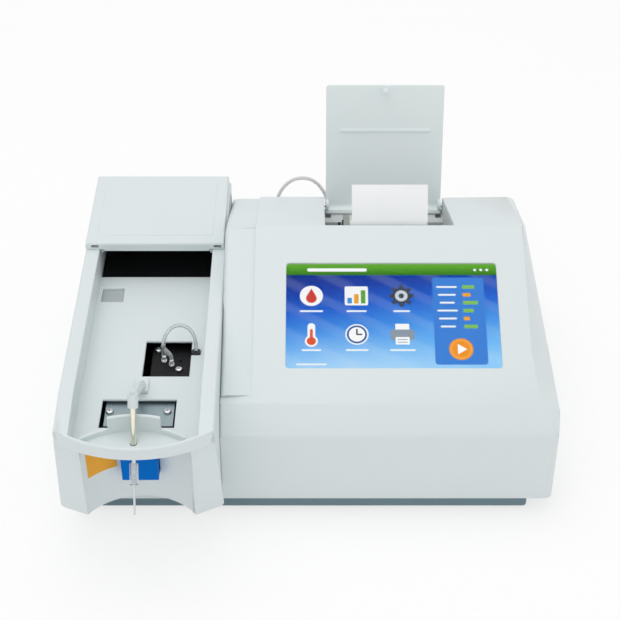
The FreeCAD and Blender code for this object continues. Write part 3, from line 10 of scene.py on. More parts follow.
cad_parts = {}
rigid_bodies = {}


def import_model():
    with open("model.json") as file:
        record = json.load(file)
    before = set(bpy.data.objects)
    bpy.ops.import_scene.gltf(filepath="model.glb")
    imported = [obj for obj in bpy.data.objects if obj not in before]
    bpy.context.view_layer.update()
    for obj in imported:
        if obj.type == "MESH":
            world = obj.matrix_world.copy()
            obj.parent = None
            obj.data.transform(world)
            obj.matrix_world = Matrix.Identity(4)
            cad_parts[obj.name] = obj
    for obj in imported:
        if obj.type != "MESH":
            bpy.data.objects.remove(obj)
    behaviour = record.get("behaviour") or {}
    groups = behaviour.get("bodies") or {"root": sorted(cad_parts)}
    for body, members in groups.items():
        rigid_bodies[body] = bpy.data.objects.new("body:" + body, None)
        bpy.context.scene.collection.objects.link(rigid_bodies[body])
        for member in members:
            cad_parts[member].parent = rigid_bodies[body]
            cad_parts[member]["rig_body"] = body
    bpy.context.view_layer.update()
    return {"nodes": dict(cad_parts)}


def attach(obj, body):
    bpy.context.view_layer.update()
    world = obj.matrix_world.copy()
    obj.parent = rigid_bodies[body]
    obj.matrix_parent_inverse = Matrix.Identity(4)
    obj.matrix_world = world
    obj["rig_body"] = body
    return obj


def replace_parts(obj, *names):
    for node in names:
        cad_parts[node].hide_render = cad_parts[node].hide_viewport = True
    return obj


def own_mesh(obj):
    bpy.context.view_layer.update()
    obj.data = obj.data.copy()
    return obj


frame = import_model()
nodes = frame["nodes"]

# The base pan: folded steel under a grey-blue textured powder coat, with a vent and a flange
# on which both housings stand. Every other finish is built in the way that this one is.


class Value:
    """An output of a node tree; the operators on it add the Math nodes they stand for."""

    def __init__(self, graph, socket):
        self.graph = graph
        self.socket = socket

    def reckon(self, operation, first, second):
        return self.graph.node("ShaderNodeMath", {"operation": operation}, {0: first, 1: second})

    def __add__(self, other):
        return self.reckon("ADD", self, other)

    def __sub__(self, other):
        return self.reckon("SUBTRACT", self, other)

    def __rsub__(self, other):
        return self.reckon("SUBTRACT", other, self)

    def __mul__(self, other):
        return self.reckon("MULTIPLY", self, other)

    def __truediv__(self, other):
        return self.reckon("DIVIDE", self, other)

    __radd__ = __add__
    __rmul__ = __mul__


class Graph:
    """A node tree under construction, of a finish or of a repeated shape."""

    def __init__(self, tree):
        self.tree = tree

    def feed(self, socket, value):
        if isinstance(value, Value):
            self.tree.links.new(value.socket, socket)
        else:
            socket.default_value = value

    def node(self, kind, settings=None, sockets=None, output=0):
        """Add a node: its settings first, then the values or links of its sockets."""
        made = self.tree.nodes.new(kind)
        for name, setting in (settings or {}).items():
            if name != "stops":
                setattr(made, name, setting)
                continue
            ramp = made.color_ramp
            ramp.elements[0].position, ramp.elements[0].color = setting[0]
            ramp.elements[1].position, ramp.elements[1].color = setting[-1]
            for place, tint in setting[1:-1]:
                ramp.elements.new(place).color = tint
        for name, value in (sockets or {}).items():
            self.feed(made.inputs[name], value)
        return Value(self, made.outputs[output])


def tint(code, lightness=1.0):
    """The linear colour of a six-digit screen colour."""
    parts = [int(code[index:index + 2], 16) / 255 for index in (0, 2, 4)]
    linear = [part / 12.92 if part <= 0.04045 else ((part + 0.055) / 1.055) ** 2.4 for part in parts]
    return (*[min(1.0, part * lightness) for part in linear], 1.0)


class Finish(Graph):
    """A material: one shader, and the nodes that vary its colour, its gloss and its surface."""

    def __init__(self, name, **sockets):
        self.material = bpy.data.materials.new(name)
        self.material.use_nodes = True
        super().__init__(self.material.node_tree)
        self.shader = self.tree.nodes["Principled BSDF"]
        for socket, value in sockets.items():
            self.set(socket.replace("_", " "), value)
        self.place = self.node("ShaderNodeTexCoord", output="Object")

    def set(self, socket, value):
        self.feed(self.shader.inputs[socket], value)

    def stretched(self, x, y, z):
        return self.node("ShaderNodeMapping", None, {"Vector": self.place, "Scale": (x, y, z)})

    def noise(self, scale, detail=2.0, place=None, roughness=0.5):
        return self.node("ShaderNodeTexNoise", None, {
            "Vector": place or self.place, "Scale": scale, "Detail": detail,
            "Roughness": roughness})

    def mix(self, share, first, second):
        return self.node("ShaderNodeMix", {"data_type": "RGBA"}, {0: share, 6: first, 7: second},
                         output=2)

    def step(self, value, low, high):
        """0 below the low value, 1 above the high one, and smooth between them."""
        return self.node("ShaderNodeMapRange", {"interpolation_type": "SMOOTHSTEP"},
                         {"Value": value, "From Min": low, "From Max": high})

    def relief(self, height, strength, distance=0.0002):
        self.set("Normal", self.node("ShaderNodeBump", None, {
            "Height": height, "Strength": strength, "Distance": distance}))


def moulded(name, code, roughness, grain=1400.0, relief=0.06, drift=0.025, **sockets):
    """Plastic or paint with a fine grain, and a colour and gloss that drift a little."""
    finish = Finish(name, **sockets)
    cloud = finish.noise(16.0, 3.0)
    fine = finish.noise(grain, 2.0)
    handling = finish.noise(90.0, 4.0, roughness=0.7)
    finish.set("Base Color", finish.mix(cloud * 0.75 + fine * 0.25, tint(code, 1 - drift * 2),
                                        tint(code, 1 + drift)))
    finish.set("Roughness", roughness + (handling - 0.5) * 0.14 + (fine - 0.5) * 0.08)
    finish.relief(fine + handling * 0.2, relief)
    return finish


def softened(node, *passes):
    """A mesh from a solid: facets joined, and its outer edges rounded in one or more passes.

    A pass is a radius, the least angle of the edges that it takes, and a test of their ends.
    An edge stays sharp where its rounding would fold into what lies beside it.
    """
    work = bmesh.new()
    work.from_mesh(nodes[node].data)
    bmesh.ops.remove_doubles(work, verts=work.verts, dist=1e-6)
    bmesh.ops.dissolve_limit(work, angle_limit=math.radians(0.5), verts=work.verts,
                             edges=work.edges)
    for radius, least, test in passes:
        work.edges.ensure_lookup_table()
        work.edges.index_update()
        chosen = {edge.index for edge in work.edges
                  if len(edge.link_faces) == 2
                  and edge.calc_face_angle_signed(0) > math.radians(least)
                  and test(edge.verts[0].co, edge.verts[1].co)}
        chosen -= {index for index in chosen if cramped(work.edges[index], chosen, radius)}
        for _ in range(9):
            trial = work.copy()
            trial.edges.ensure_lookup_table()
            bmesh.ops.bevel(trial, geom=[trial.edges[index] for index in chosen], offset=radius,
                            segments=3, profile=0.5, affect="EDGES", clamp_overlap=False)
            places = folds(trial)
            lost = {index for index in chosen
                    if any(beside(work.edges[index], place, radius * 2.5) for place in places)}
            if not lost:
                break
            chosen -= lost
        work.free()
        work = trial
    mesh = bpy.data.meshes.new(node)
    work.to_mesh(mesh)
    work.free()
    return mesh


def cramped(edge, chosen, radius):
    """Whether an edge at either end is too short for the rounding."""
    for vertex in edge.verts:
        along = (edge.other_vert(vertex).co - vertex.co).normalized()
        for other in vertex.link_edges:
            away = (other.other_vert(vertex).co - vertex.co).normalized()
            taken = other.index in chosen
            runs_on = taken and along.dot(away) < -0.8
            room = radius * (2.05 if taken else 1.05)
            if other is not edge and not runs_on and other.calc_length() < room:
                return True
    return False


def folds(work):
    """The places where a mesh cuts through itself."""
    work.faces.ensure_lookup_table()
    tree = BVHTree.FromBMesh(work)
    pairs = [(work.faces[first], work.faces[second])
             for first, second in tree.overlap(tree) if first < second]
    return [min(one, two, key=lambda face: face.calc_area()).calc_center_median()
            for one, two in pairs if not set(one.verts) & set(two.verts)]


def beside(edge, place, reach):
    start, end = edge.verts[0].co, edge.verts[1].co
    nearest, share = intersect_point_line(place, start, end)
    nearest = start if share < 0 else end if share > 1 else nearest
    return (nearest - place).length < reach


def anywhere(first, second):
    return True


def longer_than(shortest):
    return lambda first, second: (first - second).length > shortest


def add_piece(name, mesh, finish, body="analyzer", sharp=36.0):
    """A finished mesh becomes a piece that rides on its body."""
    mesh.materials.clear()
    mesh.materials.append(finish.material)
    mesh.shade_smooth()
    mesh.set_sharp_from_angle(angle=math.radians(sharp))
    piece = bpy.data.objects.new(name, mesh)
    bpy.context.scene.collection.objects.link(piece)
    weighted = piece.modifiers.new("flat_faces", "WEIGHTED_NORMAL")
    weighted.keep_sharp = True
    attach(piece, body)
    return piece


def rounded(mesh, radius):
    """A plain shape with all its sharp edges rounded."""
    work = bmesh.new()
    work.from_mesh(mesh)
    bmesh.ops.bevel(work, geom=[edge for edge in work.edges if edge.calc_face_angle(0) > 0.5],
                    offset=radius, segments=3, profile=0.5, affect="EDGES", clamp_overlap=True)
    work.to_mesh(mesh)
    work.free()
    return mesh


def dress_solid(node, finish, slot, *passes):
    """A solid shown with rounded edges, by a piece that stands for it."""
    piece = add_piece(f"{node}_dressed", softened(node, *passes), finish,
                      nodes[node]["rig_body"])
    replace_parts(piece, node)
    return piece


def paint(finish, *names):
    """A finish straight on solids whose shape is right as it is."""
    for name in names:
        mesh = nodes[name].data
        mesh.materials.clear()
        mesh.materials.append(finish.material)


pan_coat = Finish("pan_powder_coat")
pan_orange_peel = pan_coat.noise(650.0, 2.0)
pan_speckle = pan_coat.noise(2600.0, 1.0)
pan_coat.set("Base Color", pan_coat.mix(pan_speckle, tint("67808a"), tint("748b92")))
pan_coat.set("Roughness", 0.52 + pan_orange_peel * 0.12)
pan_coat.relief(pan_orange_peel + pan_speckle * 0.35, 0.22)

dress_solid("base_pan", pan_coat, "pan_paint",
            (0.0012, 60.0, lambda a, b: min(a.z, b.z) < 0.0145))

# The four feet: black rubber mushrooms pressed into the pan's holes, each turned with a
# shallow ring under it so that it grips the bench.

foot_rubber = moulded("foot_rubber", "1c1e20", 0.82, grain=900.0, relief=0.2)
dress_solid("feet", foot_rubber, "black_rubber", (0.0007, 60.0, anywhere))

# Screws: bright pan heads with a cross recess. Four stand under the pan's flange and go up into
# the covers' corner blocks, two hold the needle's bracket and two the flow cell's block.


def lathe(outline, steps=32):
    """A closed shape turned about Z from pairs of radius and height, bottom to top."""
    work = bmesh.new()
    rings = []
    for radius, height in outline:
        count = 1 if radius == 0 else steps
        rings.append([work.verts.new((radius * math.cos(math.tau * index / steps),
                                      radius * math.sin(math.tau * index / steps), height))
                      for index in range(count)])
    for low, high in zip(rings, rings[1:]):
        for index in range(steps):
            following = (index + 1) % steps
            corners = [low[index % len(low)], low[following % len(low)],
                       high[following % len(high)], high[index % len(high)]]
            work.faces.new(list(dict.fromkeys(corners)))
    bmesh.ops.recalc_face_normals(work, faces=work.faces)
    mesh = bpy.data.meshes.new("turned")
    work.to_mesh(mesh)
    work.free()
    return mesh


def blank(mesh):
    """A helper object outside the scene, for a tree to repeat."""
    return bpy.data.objects.new("blank", mesh)


def cuboid(low, high, turn=None):
    """A block as a mesh, for cutting or joining."""
    work = bmesh.new()
    bmesh.ops.create_cube(work, size=1.0)
    size = Vector(high) - Vector(low)
    middle = (Vector(high) + Vector(low)) / 2
    bmesh.ops.transform(work, matrix=Matrix.Translation(middle) @ Matrix.Diagonal((*size, 1.0)),
                        verts=work.verts)
    if turn:
        bmesh.ops.transform(work, matrix=turn, verts=work.verts)
    mesh = bpy.data.meshes.new("block")
    work.to_mesh(mesh)
    work.free()
    return mesh


def evaluated(thing):
    """The mesh that an object's modifiers make."""
    scene_objects = bpy.context.scene.collection.objects
    if thing.name not in scene_objects:
        scene_objects.link(thing)
    bpy.context.view_layer.update()
    graph = bpy.context.evaluated_depsgraph_get()
    mesh = bpy.data.meshes.new_from_object(thing.evaluated_get(graph))
    scene_objects.unlink(thing)
    return mesh


def carved(mesh, *tools):
    """A mesh with other meshes cut out of it."""
    thing = blank(mesh)
    for tool in tools:
        cutter = blank(tool)
        bpy.context.scene.collection.objects.link(cutter)
        cut = thing.modifiers.new("cut", "BOOLEAN")
        cut.operation = "DIFFERENCE"
        cut.solver = "EXACT"
        cut.object = cutter
    made = evaluated(thing)
    for cut in thing.modifiers:
        bpy.data.objects.remove(cut.object)
    return made


def copies(name, pattern, places, finish, scale=1.0):
    """One mesh of a pattern repeated at places, each a point and a direction for its Z axis."""
    tree = bpy.data.node_groups.new(f"{name}_tree", "GeometryNodeTree")
    for label, way, kind in (("Places", "INPUT", "NodeSocketGeometry"),
                             ("Pattern", "INPUT", "NodeSocketObject"),
                             ("Size", "INPUT", "NodeSocketFloat"),
                             ("Finish", "INPUT", "NodeSocketMaterial"),
                             ("Result", "OUTPUT", "NodeSocketGeometry")):
        tree.interface.new_socket(label, in_out=way, socket_type=kind)
    graph = Graph(tree)
    given = tree.nodes.new("NodeGroupInput")
    source, shape, size, skin = [Value(graph, given.outputs[index]) for index in range(4)]
    body = graph.node("GeometryNodeObjectInfo", None, {"Object": shape}, output=4)
    heading = graph.node("GeometryNodeInputNamedAttribute", {"data_type": "FLOAT_VECTOR"},
                         {"Name": "heading"})
    turned = graph.node("FunctionNodeAlignRotationToVector", {"axis": "Z"}, {"Vector": heading})
    many = graph.node("GeometryNodeInstanceOnPoints", None, {
        "Points": source, "Instance": body, "Rotation": turned, "Scale": size})
    real = graph.node("GeometryNodeRealizeInstances", None, {"Geometry": many})
    skinned = graph.node("GeometryNodeSetMaterial", None, {"Geometry": real, "Material": skin})
    graph.feed(tree.nodes.new("NodeGroupOutput").inputs[0], skinned)
    points = bpy.data.meshes.new(name)
    points.from_pydata([place for place, _ in places], [], [])
    headings = points.attributes.new("heading", "FLOAT_VECTOR", "POINT")
    headings.data.foreach_set("vector", [part for _, way in places for part in way])
    holder = bpy.data.objects.new(name, points)
    maker = holder.modifiers.new("repeat", "NODES")
    maker.node_group = tree
    values = {"Pattern": pattern, "Size": scale, "Finish": finish.material}
    for item in tree.interface.items_tree:
        if item.in_out == "INPUT" and item.name in values:
            maker[item.identifier] = values[item.name]
    made = evaluated(holder)
    bpy.data.objects.remove(holder)
    return made


bright_steel = Finish("bright_screw_steel", Metallic=1.0)
turning = bright_steel.noise(1800.0, 2.0)
bright_steel.set("Base Color", bright_steel.mix(turning, tint("b9bcbd"), tint("dadcdd")))
bright_steel.set("Roughness", 0.2 + turning * 0.18)
bright_steel.relief(turning, 0.05)

head_radius = 0.00275
head_height = 0.0019
shank_radius = 0.0015
recess_arm = 0.0015


def pan_head_screw(length):
    """A screw on the Z axis, its head above the origin and its shank of a length below."""
    turned = lathe([(0, -length), (shank_radius * 0.6, -length), (shank_radius, 0.0007 - length),
                    (shank_radius, 0.0), (head_radius * 0.93, 0.0), (head_radius, head_height * 0.2),
                    (head_radius, head_height * 0.45), (head_radius * 0.82, head_height * 0.82),
                    (head_radius * 0.45, head_height * 0.98), (0, head_height)])
    return blank(carved(
        turned, cuboid((-recess_arm, -0.0004, head_height * 0.3), (recess_arm, 0.0004, 0.004)),
        cuboid((-0.0004, -recess_arm, head_height * 0.3), (0.0004, recess_arm, 0.004))))


def joined(*meshes):
    """One mesh out of several."""
    work = bmesh.new()
    for mesh in meshes:
        work.from_mesh(mesh)
    whole = bpy.data.meshes.new("joined")
    work.to_mesh(whole)
    work.free()
    return whole


up = (0.0, 0.0, 1.0)
down = (0.0, 0.0, -1.0)
flange_under = 0.014
case_places = [((x, y, flange_under), down) for x in (-0.1632, 0.1675) for y in (-0.084, 0.112)]
bracket_places = [((x, -0.104, 0.096), up) for x in (-0.1398, -0.0994)]
block_places = [((-0.1113, -0.032, 0.092), up), ((-0.095, -0.054, 0.092), up)]
screws = add_piece("screws_dressed", joined(
    copies("case_screws", pan_head_screw(0.0123), case_places, bright_steel),
    copies("bracket_screws", pan_head_screw(0.0045), bracket_places, bright_steel),
    copies("block_screws", pan_head_screw(0.0075), block_places, bright_steel)),
    bright_steel)
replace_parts(screws, "screws")

# The main cover: one thin-walled moulding in pale grey-white plastic, with a sloped front, a
# lower channel beside the module, the screen's window and the printer's bay.

shell_plastic = moulded("shell_plastic", "dde5e6", 0.42, grain=1500.0, relief=0.05, drift=0.01,
                        Coat_Weight=0.1, Coat_Roughness=0.3, Specular_IOR_Level=0.3)
dress_solid("main_cover", shell_plastic, "white_shell", (0.004, 9.0, longer_than(0.04)),
            (0.0022, 12.0, longer_than(0.01)), (0.0006, 40.0, anywhere))

# A thin pale strip of foam lies in the joint between the cover and the sample module.


def slab(outline, depth):
    """A flat outline of points, given a depth along X."""
    work = bmesh.new()
    face = work.faces.new([work.verts.new(corner) for corner in outline])
    moved = bmesh.ops.extrude_face_region(work, geom=[face])["geom"]
    bmesh.ops.translate(work, vec=(depth, 0, 0),
                        verts=[item for item in moved if isinstance(item, bmesh.types.BMVert)])
    bmesh.ops.recalc_face_normals(work, faces=work.faces)
    mesh = bpy.data.meshes.new("slab")
    work.to_mesh(mesh)
    work.free()
    return mesh


seal_foam = moulded("seal_foam", "c3cbcd", 0.85, grain=700.0, relief=0.2)
seal_outline = [(-0.1064, 0.0146), (-0.1064, 0.0732), (-0.0935, 0.092), (-0.0300, 0.1195),
                (-0.0230, 0.1222), (0.1300, 0.1222), (0.1420, 0.1100), (0.1420, 0.0146)]
seal_mesh = slab([(-0.06398, y, z) for y, z in seal_outline], 0.00026)
add_piece("joint_seal", seal_mesh, seal_foam)

# The touch screen: a lit panel in a black carrier, fixed under the window behind clear glass.
# Its picture is a striped blue field under a green title bar, six plain signs with bars for their
# captions, and a card of values.

panel_black = moulded("carrier_plastic", "17181b", 0.5, grain=1200.0, relief=0.12)
touch_glass = Finish("touch_glass", Base_Color=tint("ffffff"), IOR=1.12, Transmission_Weight=1.0)
smear = touch_glass.noise(35.0, 4.0, roughness=0.7)
touch_glass.set("Roughness", 0.01 + touch_glass.step(smear, 0.52, 0.72) * 0.02)
paint(touch_glass, "touch_glass")
panel_metal = moulded("panel_backing", "2a2c30", 0.45, grain=900.0, relief=0.1)
paint(panel_metal, "display_panel")
paint(panel_black, "screen_carrier")

slope = math.radians(23.09)
ridge = Vector((0.060, 0.0426, 0.15181))
window_width = 0.155
window_height = 0.087
window_middle = 0.0323 + window_height / 2
panel_face = -0.00379
downhill = Vector((0, -math.cos(slope), -math.sin(slope)))
outward = Vector((0, -math.sin(slope), math.cos(slope)))


def on_screen(across, up_slope, layer=0.0):
    """A point of the picture: millimetres from its middle, and a layer above the panel."""
    return (ridge + Vector((across / 1000, 0, 0)) + downhill * (window_middle - up_slope / 1000)
            + outward * (panel_face + layer * 1.1e-5))


def flat_shapes(name, shapes, finish, thickness=0.9e-5):
    """Thin plates on the panel from outlines, each with its layer."""
    work = bmesh.new()
    spread = work.loops.layers.uv.new("picture")
    for layer, outline in shapes:
        face = work.faces.new([work.verts.new(on_screen(u, v, layer)) for u, v in outline])
        face.normal_update()
        if face.normal.dot(outward) < 0:
            face.normal_flip()
        made = bmesh.ops.extrude_face_region(work, geom=[face])
        raised = [item for item in made["geom"] if isinstance(item, bmesh.types.BMVert)]
        bmesh.ops.translate(work, verts=raised, vec=outward * thickness)
    bmesh.ops.recalc_face_normals(work, faces=work.faces)
    for face in work.faces:
        for loop in face.loops:
            offset = loop.vert.co - on_screen(0, 0)
            loop[spread].uv = (0.5 + offset.x / window_width,
                               0.5 - offset.dot(downhill) / window_height)
    mesh = bpy.data.meshes.new(name)
    work.to_mesh(mesh)
    work.free()
    return add_piece(name, mesh, finish, sharp=20.0)


def lit(name, code, strength=1.0):
    """A colour shown by the panel: it gives light and takes none."""
    finish = Finish(name, Base_Color=(0.0, 0.0, 0.0, 1.0), Roughness=0.5, Specular_IOR_Level=0.0)
    finish.set("Emission Strength", strength)
    dots = finish.noise(5200.0, 1.0)
    finish.set("Emission Color", finish.mix(dots, tint(code, 0.93), tint(code, 1.04)))
    return finish


picture = Finish("screen_picture", Base_Color=(0.0, 0.0, 0.0, 1.0), Roughness=0.5,
                 Specular_IOR_Level=0.0)
picture.set("Emission Strength", 1.0)
spot = picture.node("ShaderNodeUVMap", {"uv_map": "picture"})
split = picture.tree.nodes.new("ShaderNodeSeparateXYZ")
picture.feed(split.inputs[0], spot)
across, upward = Value(picture, split.outputs[0]), Value(picture, split.outputs[1])
cloud = picture.noise(2.2, 3.0, place=spot)
fall = upward + (0.5 - across) * 0.2 + (cloud - 0.5) * 0.1
sky = picture.node("ShaderNodeValToRGB", {"stops": (
    (0.0, tint("8ccaf7")), (0.2, tint("66b2f1")), (0.42, tint("3f8de3")),
    (0.62, tint("1c60cc")), (0.82, tint("103ca6")), (1.0, tint("0b2880")))}, {"Fac": fall})
stripes = picture.step(picture.node("ShaderNodeTexWave", {
    "wave_type": "BANDS", "bands_direction": "DIAGONAL", "wave_profile": "SIN"},
    {"Vector": spot, "Scale": 2.6}, output=1), 0.5, 0.9) * 0.06
from_base = picture.node("ShaderNodeVectorMath", {"operation": "DISTANCE"},
                         {0: spot, 1: (0.3, -0.3, 0.0)}, output=1)
glow = picture.step(1.0 - from_base * 1.3, 0.0, 1.0) * 0.5
field = picture.mix(glow + stripes, sky, tint("dbeef6"))
header_start = 0.9
header = picture.node("ShaderNodeValToRGB", {"stops": (
    (0.0, tint("2d6f12")), (0.5, tint("46901f")), (1.0, tint("62a832")))},
    {"Fac": (upward - header_start) / 0.1})
picture.set("Emission Color", picture.mix(
    picture.step(upward, header_start, header_start + 0.006), field, header))
half_width = window_width * 500 + 1.2
half_height = window_height * 500 + 1.2
flat_shapes("screen_picture", [(0, [(-half_width, -half_height), (half_width, -half_height),
                                    (half_width, half_height), (-half_width, half_height)])],
            picture)

signs = {}
at = (0.0, 0.0)
enlarged = 1.18


def put(code, layer, outline):
    """A shape of one colour, enlarged about its sign's middle."""
    signs.setdefault(code, []).append((layer, [(at[0] + (u - at[0]) * enlarged,
                                                at[1] + (v - at[1]) * enlarged) for u, v in outline]))


def block(code, layer, middle, size, turn=0.0, corner=0.0):
    """A rectangle, turned, with cut or rounded corners."""
    wide, high = size[0] / 2, size[1] / 2
    outline = []
    for index, (side, rise) in enumerate(((1, 1), (-1, 1), (-1, -1), (1, -1))):
        for step in range(4 if corner else 1):
            angle = math.radians(index * 90 + step * 30)
            outline.append((side * (wide - corner) + corner * math.cos(angle),
                            rise * (high - corner) + corner * math.sin(angle)))
    angle = math.radians(turn)
    placed = [(middle[0] + u * math.cos(angle) - v * math.sin(angle),
               middle[1] + u * math.sin(angle) + v * math.cos(angle)) for u, v in outline]
    put(code, layer, placed)


def disc(code, layer, middle, radius, start=0, end=360, inner=0.0):
    """A full disc, or a part of a ring."""
    count = max(8, int((end - start) / 9))
    angles = [math.radians(start + (end - start) * index / count) for index in range(count + 1)]
    if not inner:
        angles = angles[:-1] if end - start == 360 else angles
    outline = [(middle[0] + radius * math.cos(angle), middle[1] + radius * math.sin(angle))
               for angle in angles]
    if inner:
        outline += [(middle[0] + inner * math.cos(angle), middle[1] + inner * math.sin(angle))
                    for angle in reversed(angles)]
    put(code, layer, outline)


def shape(code, layer, middle, *outline):
    put(code, layer, [(middle[0] + u, middle[1] + v) for u, v in outline])


columns = (-59.0, -26.0, 7.0)
upper = 17.5
lower = -14.5
# Sample: a red drop on a white disc.
at = (columns[0], upper)
disc("f3f6f8", 1, at, 7.2)
disc("cc3d33", 2, (at[0], at[1] - 1.7), 3.3)
shape("cc3d33", 3, (at[0], at[1] - 1.7), (-2.9, 1.6), (2.9, 1.6), (0.0, 7.0))
# Chart: three bars of rising height on a white card.
at = (columns[1], upper)
block("f3f5f6", 1, at, (14.5, 13.5), corner=1.0)
for code, place, height in (("3f8fd8", -4.2, 4.0), ("e6a02c", 0.0, 6.6), ("58a339", 4.2, 9.4)):
    block(code, 2, (at[0] + place, at[1] - 5.4 + height / 2), (2.8, height))
# Service: a steel gear.
at = (columns[2], upper)
for tooth in range(8):
    angle = math.radians(tooth * 45)
    block("3d4652", 1, (at[0] + 6.2 * math.cos(angle), at[1] + 6.2 * math.sin(angle)), (3.0, 2.7),
          tooth * 45)
disc("3d4652", 2, at, 5.6)
disc("c9d2da", 3, at, 3.9)
disc("3d4652", 4, at, 1.7)
# Warmth: a thermometer.
at = (columns[0], lower)
block("f3f6f8", 1, (at[0], at[1] + 1.6), (4.8, 12.4), corner=2.2)
disc("f3f6f8", 2, (at[0], at[1] - 4.6), 4.0)
disc("e0552f", 3, (at[0], at[1] - 4.6), 2.8)
block("e0552f", 4, (at[0], at[1] - 0.4), (1.8, 8.0), corner=0.8)
# Time: a clock.
at = (columns[1], lower)
disc("e9eef2", 1, at, 7.2)
disc("2c5f9e", 2, at, 6.2)
disc("f7f9fa", 3, at, 5.0)
block("33404d", 4, (at[0], at[1] + 1.7), (1.0, 4.4), corner=0.4)
block("33404d", 5, (at[0] + 1.4, at[1]), (3.8, 1.0), corner=0.4)
# Print: a printer with a sheet above and one below.
at = (columns[2], lower)
block("f6f8f9", 1, (at[0], at[1] + 4.4), (8.6, 6.0))
block("8b98a5", 2, (at[0], at[1] - 0.2), (14.4, 7.2), corner=1.2)
block("f6f8f9", 3, (at[0], at[1] - 4.4), (8.6, 5.2))
for line in range(2):
    block("9aa8b8", 4, (at[0], at[1] - 3.6 - line * 1.8), (6.0, 0.6))
# Bars stand in for the title, the captions and the state line.
enlarged = 1.0
block("f4f8fb", 1, (-40.0, 39.5), (44.0, 2.8), corner=0.9)
for index, across_place in enumerate(columns):
    block("e8f1f8", 1, (across_place, upper - 12.8), (17.0 - 2.4 * (index % 3), 1.5), corner=0.6)
    block("e8f1f8", 1, (across_place, lower - 12.8), (14.0 + 2.2 * (index % 3), 1.5), corner=0.6)
block("e8f1f8", 1, (-59.0, -38.8), (22.0, 1.4), corner=0.6)
for index in range(3):
    disc("e8f1f8", 1, (62.0 + index * 4.5, 39.5), 1.1)
# To the right a tall card lists values, with an orange start sign at its foot.
card = (49.0, -3.0)
block("3a7fd6", 1, card, (38.0, 72.0), corner=2.4)
for index, (code, long) in enumerate((("7fc05a", 9.0), ("e6a02c", 6.0), ("7fc05a", 11.0),
                                      ("7fc05a", 7.6), ("e6a02c", 4.6), ("7fc05a", 10.0))):
    row = card[1] + 28.0 - index * 6.6
    block("eef4fa", 2, (card[0] - 8.5, row), (15.0 - 2.0 * (index % 3), 1.5), corner=0.6)
    block(code, 2, (card[0] + 3.0 + long / 2, row), (long, 3.0), corner=0.6)
at = (card[0], card[1] - 23.5)
enlarged = 1.1
disc("ee9422", 2, at, 8.0)
disc("f7b65a", 3, at, 6.8)
disc("ee9422", 4, at, 6.2)
shape("ffffff", 5, at, (-2.2, -3.8), (4.0, 0.0), (-2.2, 3.8))
for index, code in enumerate(sorted(signs)):
    flat_shapes(f"screen_sign_{index}", signs[code], lit(f"screen_light_{index}", code))

# The printer: a light grey tub hangs in the cover's bay, and a folded steel chassis carries the
# thermal head, the rubber platen and its motor. The roll lies loose in the tub.

tub_plastic = moulded("tub_plastic", "cfd3d3", 0.5, grain=1300.0, relief=0.08, drift=0.015)
dress_solid("printer_tub", tub_plastic, "inner_plastic", (0.0006, 60.0, anywhere))
zinc_sheet = Finish("zinc_plated_sheet", Metallic=0.9)
spangle = zinc_sheet.noise(120.0, 5.0, roughness=0.7)
rolled = zinc_sheet.noise(1.0, 3.0, zinc_sheet.stretched(60.0, 900.0, 900.0))
zinc_sheet.set("Base Color", zinc_sheet.mix(spangle, tint("839297"), tint("9aa9ad")))
zinc_sheet.set("Roughness", 0.34 + rolled * 0.16)
zinc_sheet.relief(rolled, 0.06)
dress_solid("printer_chassis", zinc_sheet, "bracket_steel", (0.0003, 60.0, anywhere))
head_plastic = moulded("black_moulding", "1b1c1f", 0.48, grain=1100.0, relief=0.1)
dress_solid("print_head", head_plastic, "dark_plastic", (0.0003, 60.0, anywhere))
platen_rubber = moulded("platen_rubber", "202123", 0.62, grain=1800.0, relief=0.1)
paint(platen_rubber, "platen_roller")
motor_case = moulded("motor_casing", "5f6a66", 0.45, grain=900.0, relief=0.08)
dress_solid("print_motor", motor_case, "grey_plastic", (0.0004, 60.0, anywhere))

paper_sheet = Finish("thermal_paper", Sheen_Weight=0.15)
fibre = paper_sheet.noise(1500.0, 4.0, roughness=0.65)
wave = paper_sheet.noise(22.0, 2.0)
paper_sheet.set("Base Color", paper_sheet.mix(fibre * 0.6 + wave * 0.4, tint("eceff1"),
                                              tint("fafbfb")))
paper_sheet.set("Roughness", 0.6 + fibre * 0.15)
paper_sheet.relief(fibre, 0.05)
dress_solid("paper_strip", paper_sheet, "paper")
# The roll's ends show its turns as fine rings about its own axis.
wound_paper = Finish("wound_paper")
from_axis = wound_paper.node("ShaderNodeMapping", None, {
    "Vector": wound_paper.place, "Location": (0.0, -0.093, -0.0973)})
ring = wound_paper.node("ShaderNodeTexWave", {
    "wave_type": "RINGS", "rings_direction": "X", "wave_profile": "SIN"},
    {"Vector": from_axis, "Scale": 420.0, "Distortion": 0.6, "Detail": 2.0}, output=1)
wound_paper.set("Base Color", wound_paper.mix(ring, tint("d9dddf"), tint("f6f7f7")))
wound_paper.set("Roughness", 0.62 + ring * 0.14)
wound_paper.relief(ring, 0.15)
paint(wound_paper, "paper_roll")

# To the left of the roll stand the drive's parts: a small motor in a grey-green can on a black
# post, and three toothed wheels on an arm, which turn the platen.
drive_post = rounded(cuboid((0.0268, 0.0830, 0.0771), (0.0306, 0.0940, 0.1129)), 0.0005)
add_piece("drive_post", drive_post, head_plastic)
can_green = moulded("can_green", "8f9a92", 0.45, grain=900.0, relief=0.08)
can = rounded(cuboid((0.0260, 0.0800, 0.1130), (0.0311, 0.0975, 0.1244)), 0.0008)
add_piece("drive_motor", can, can_green)


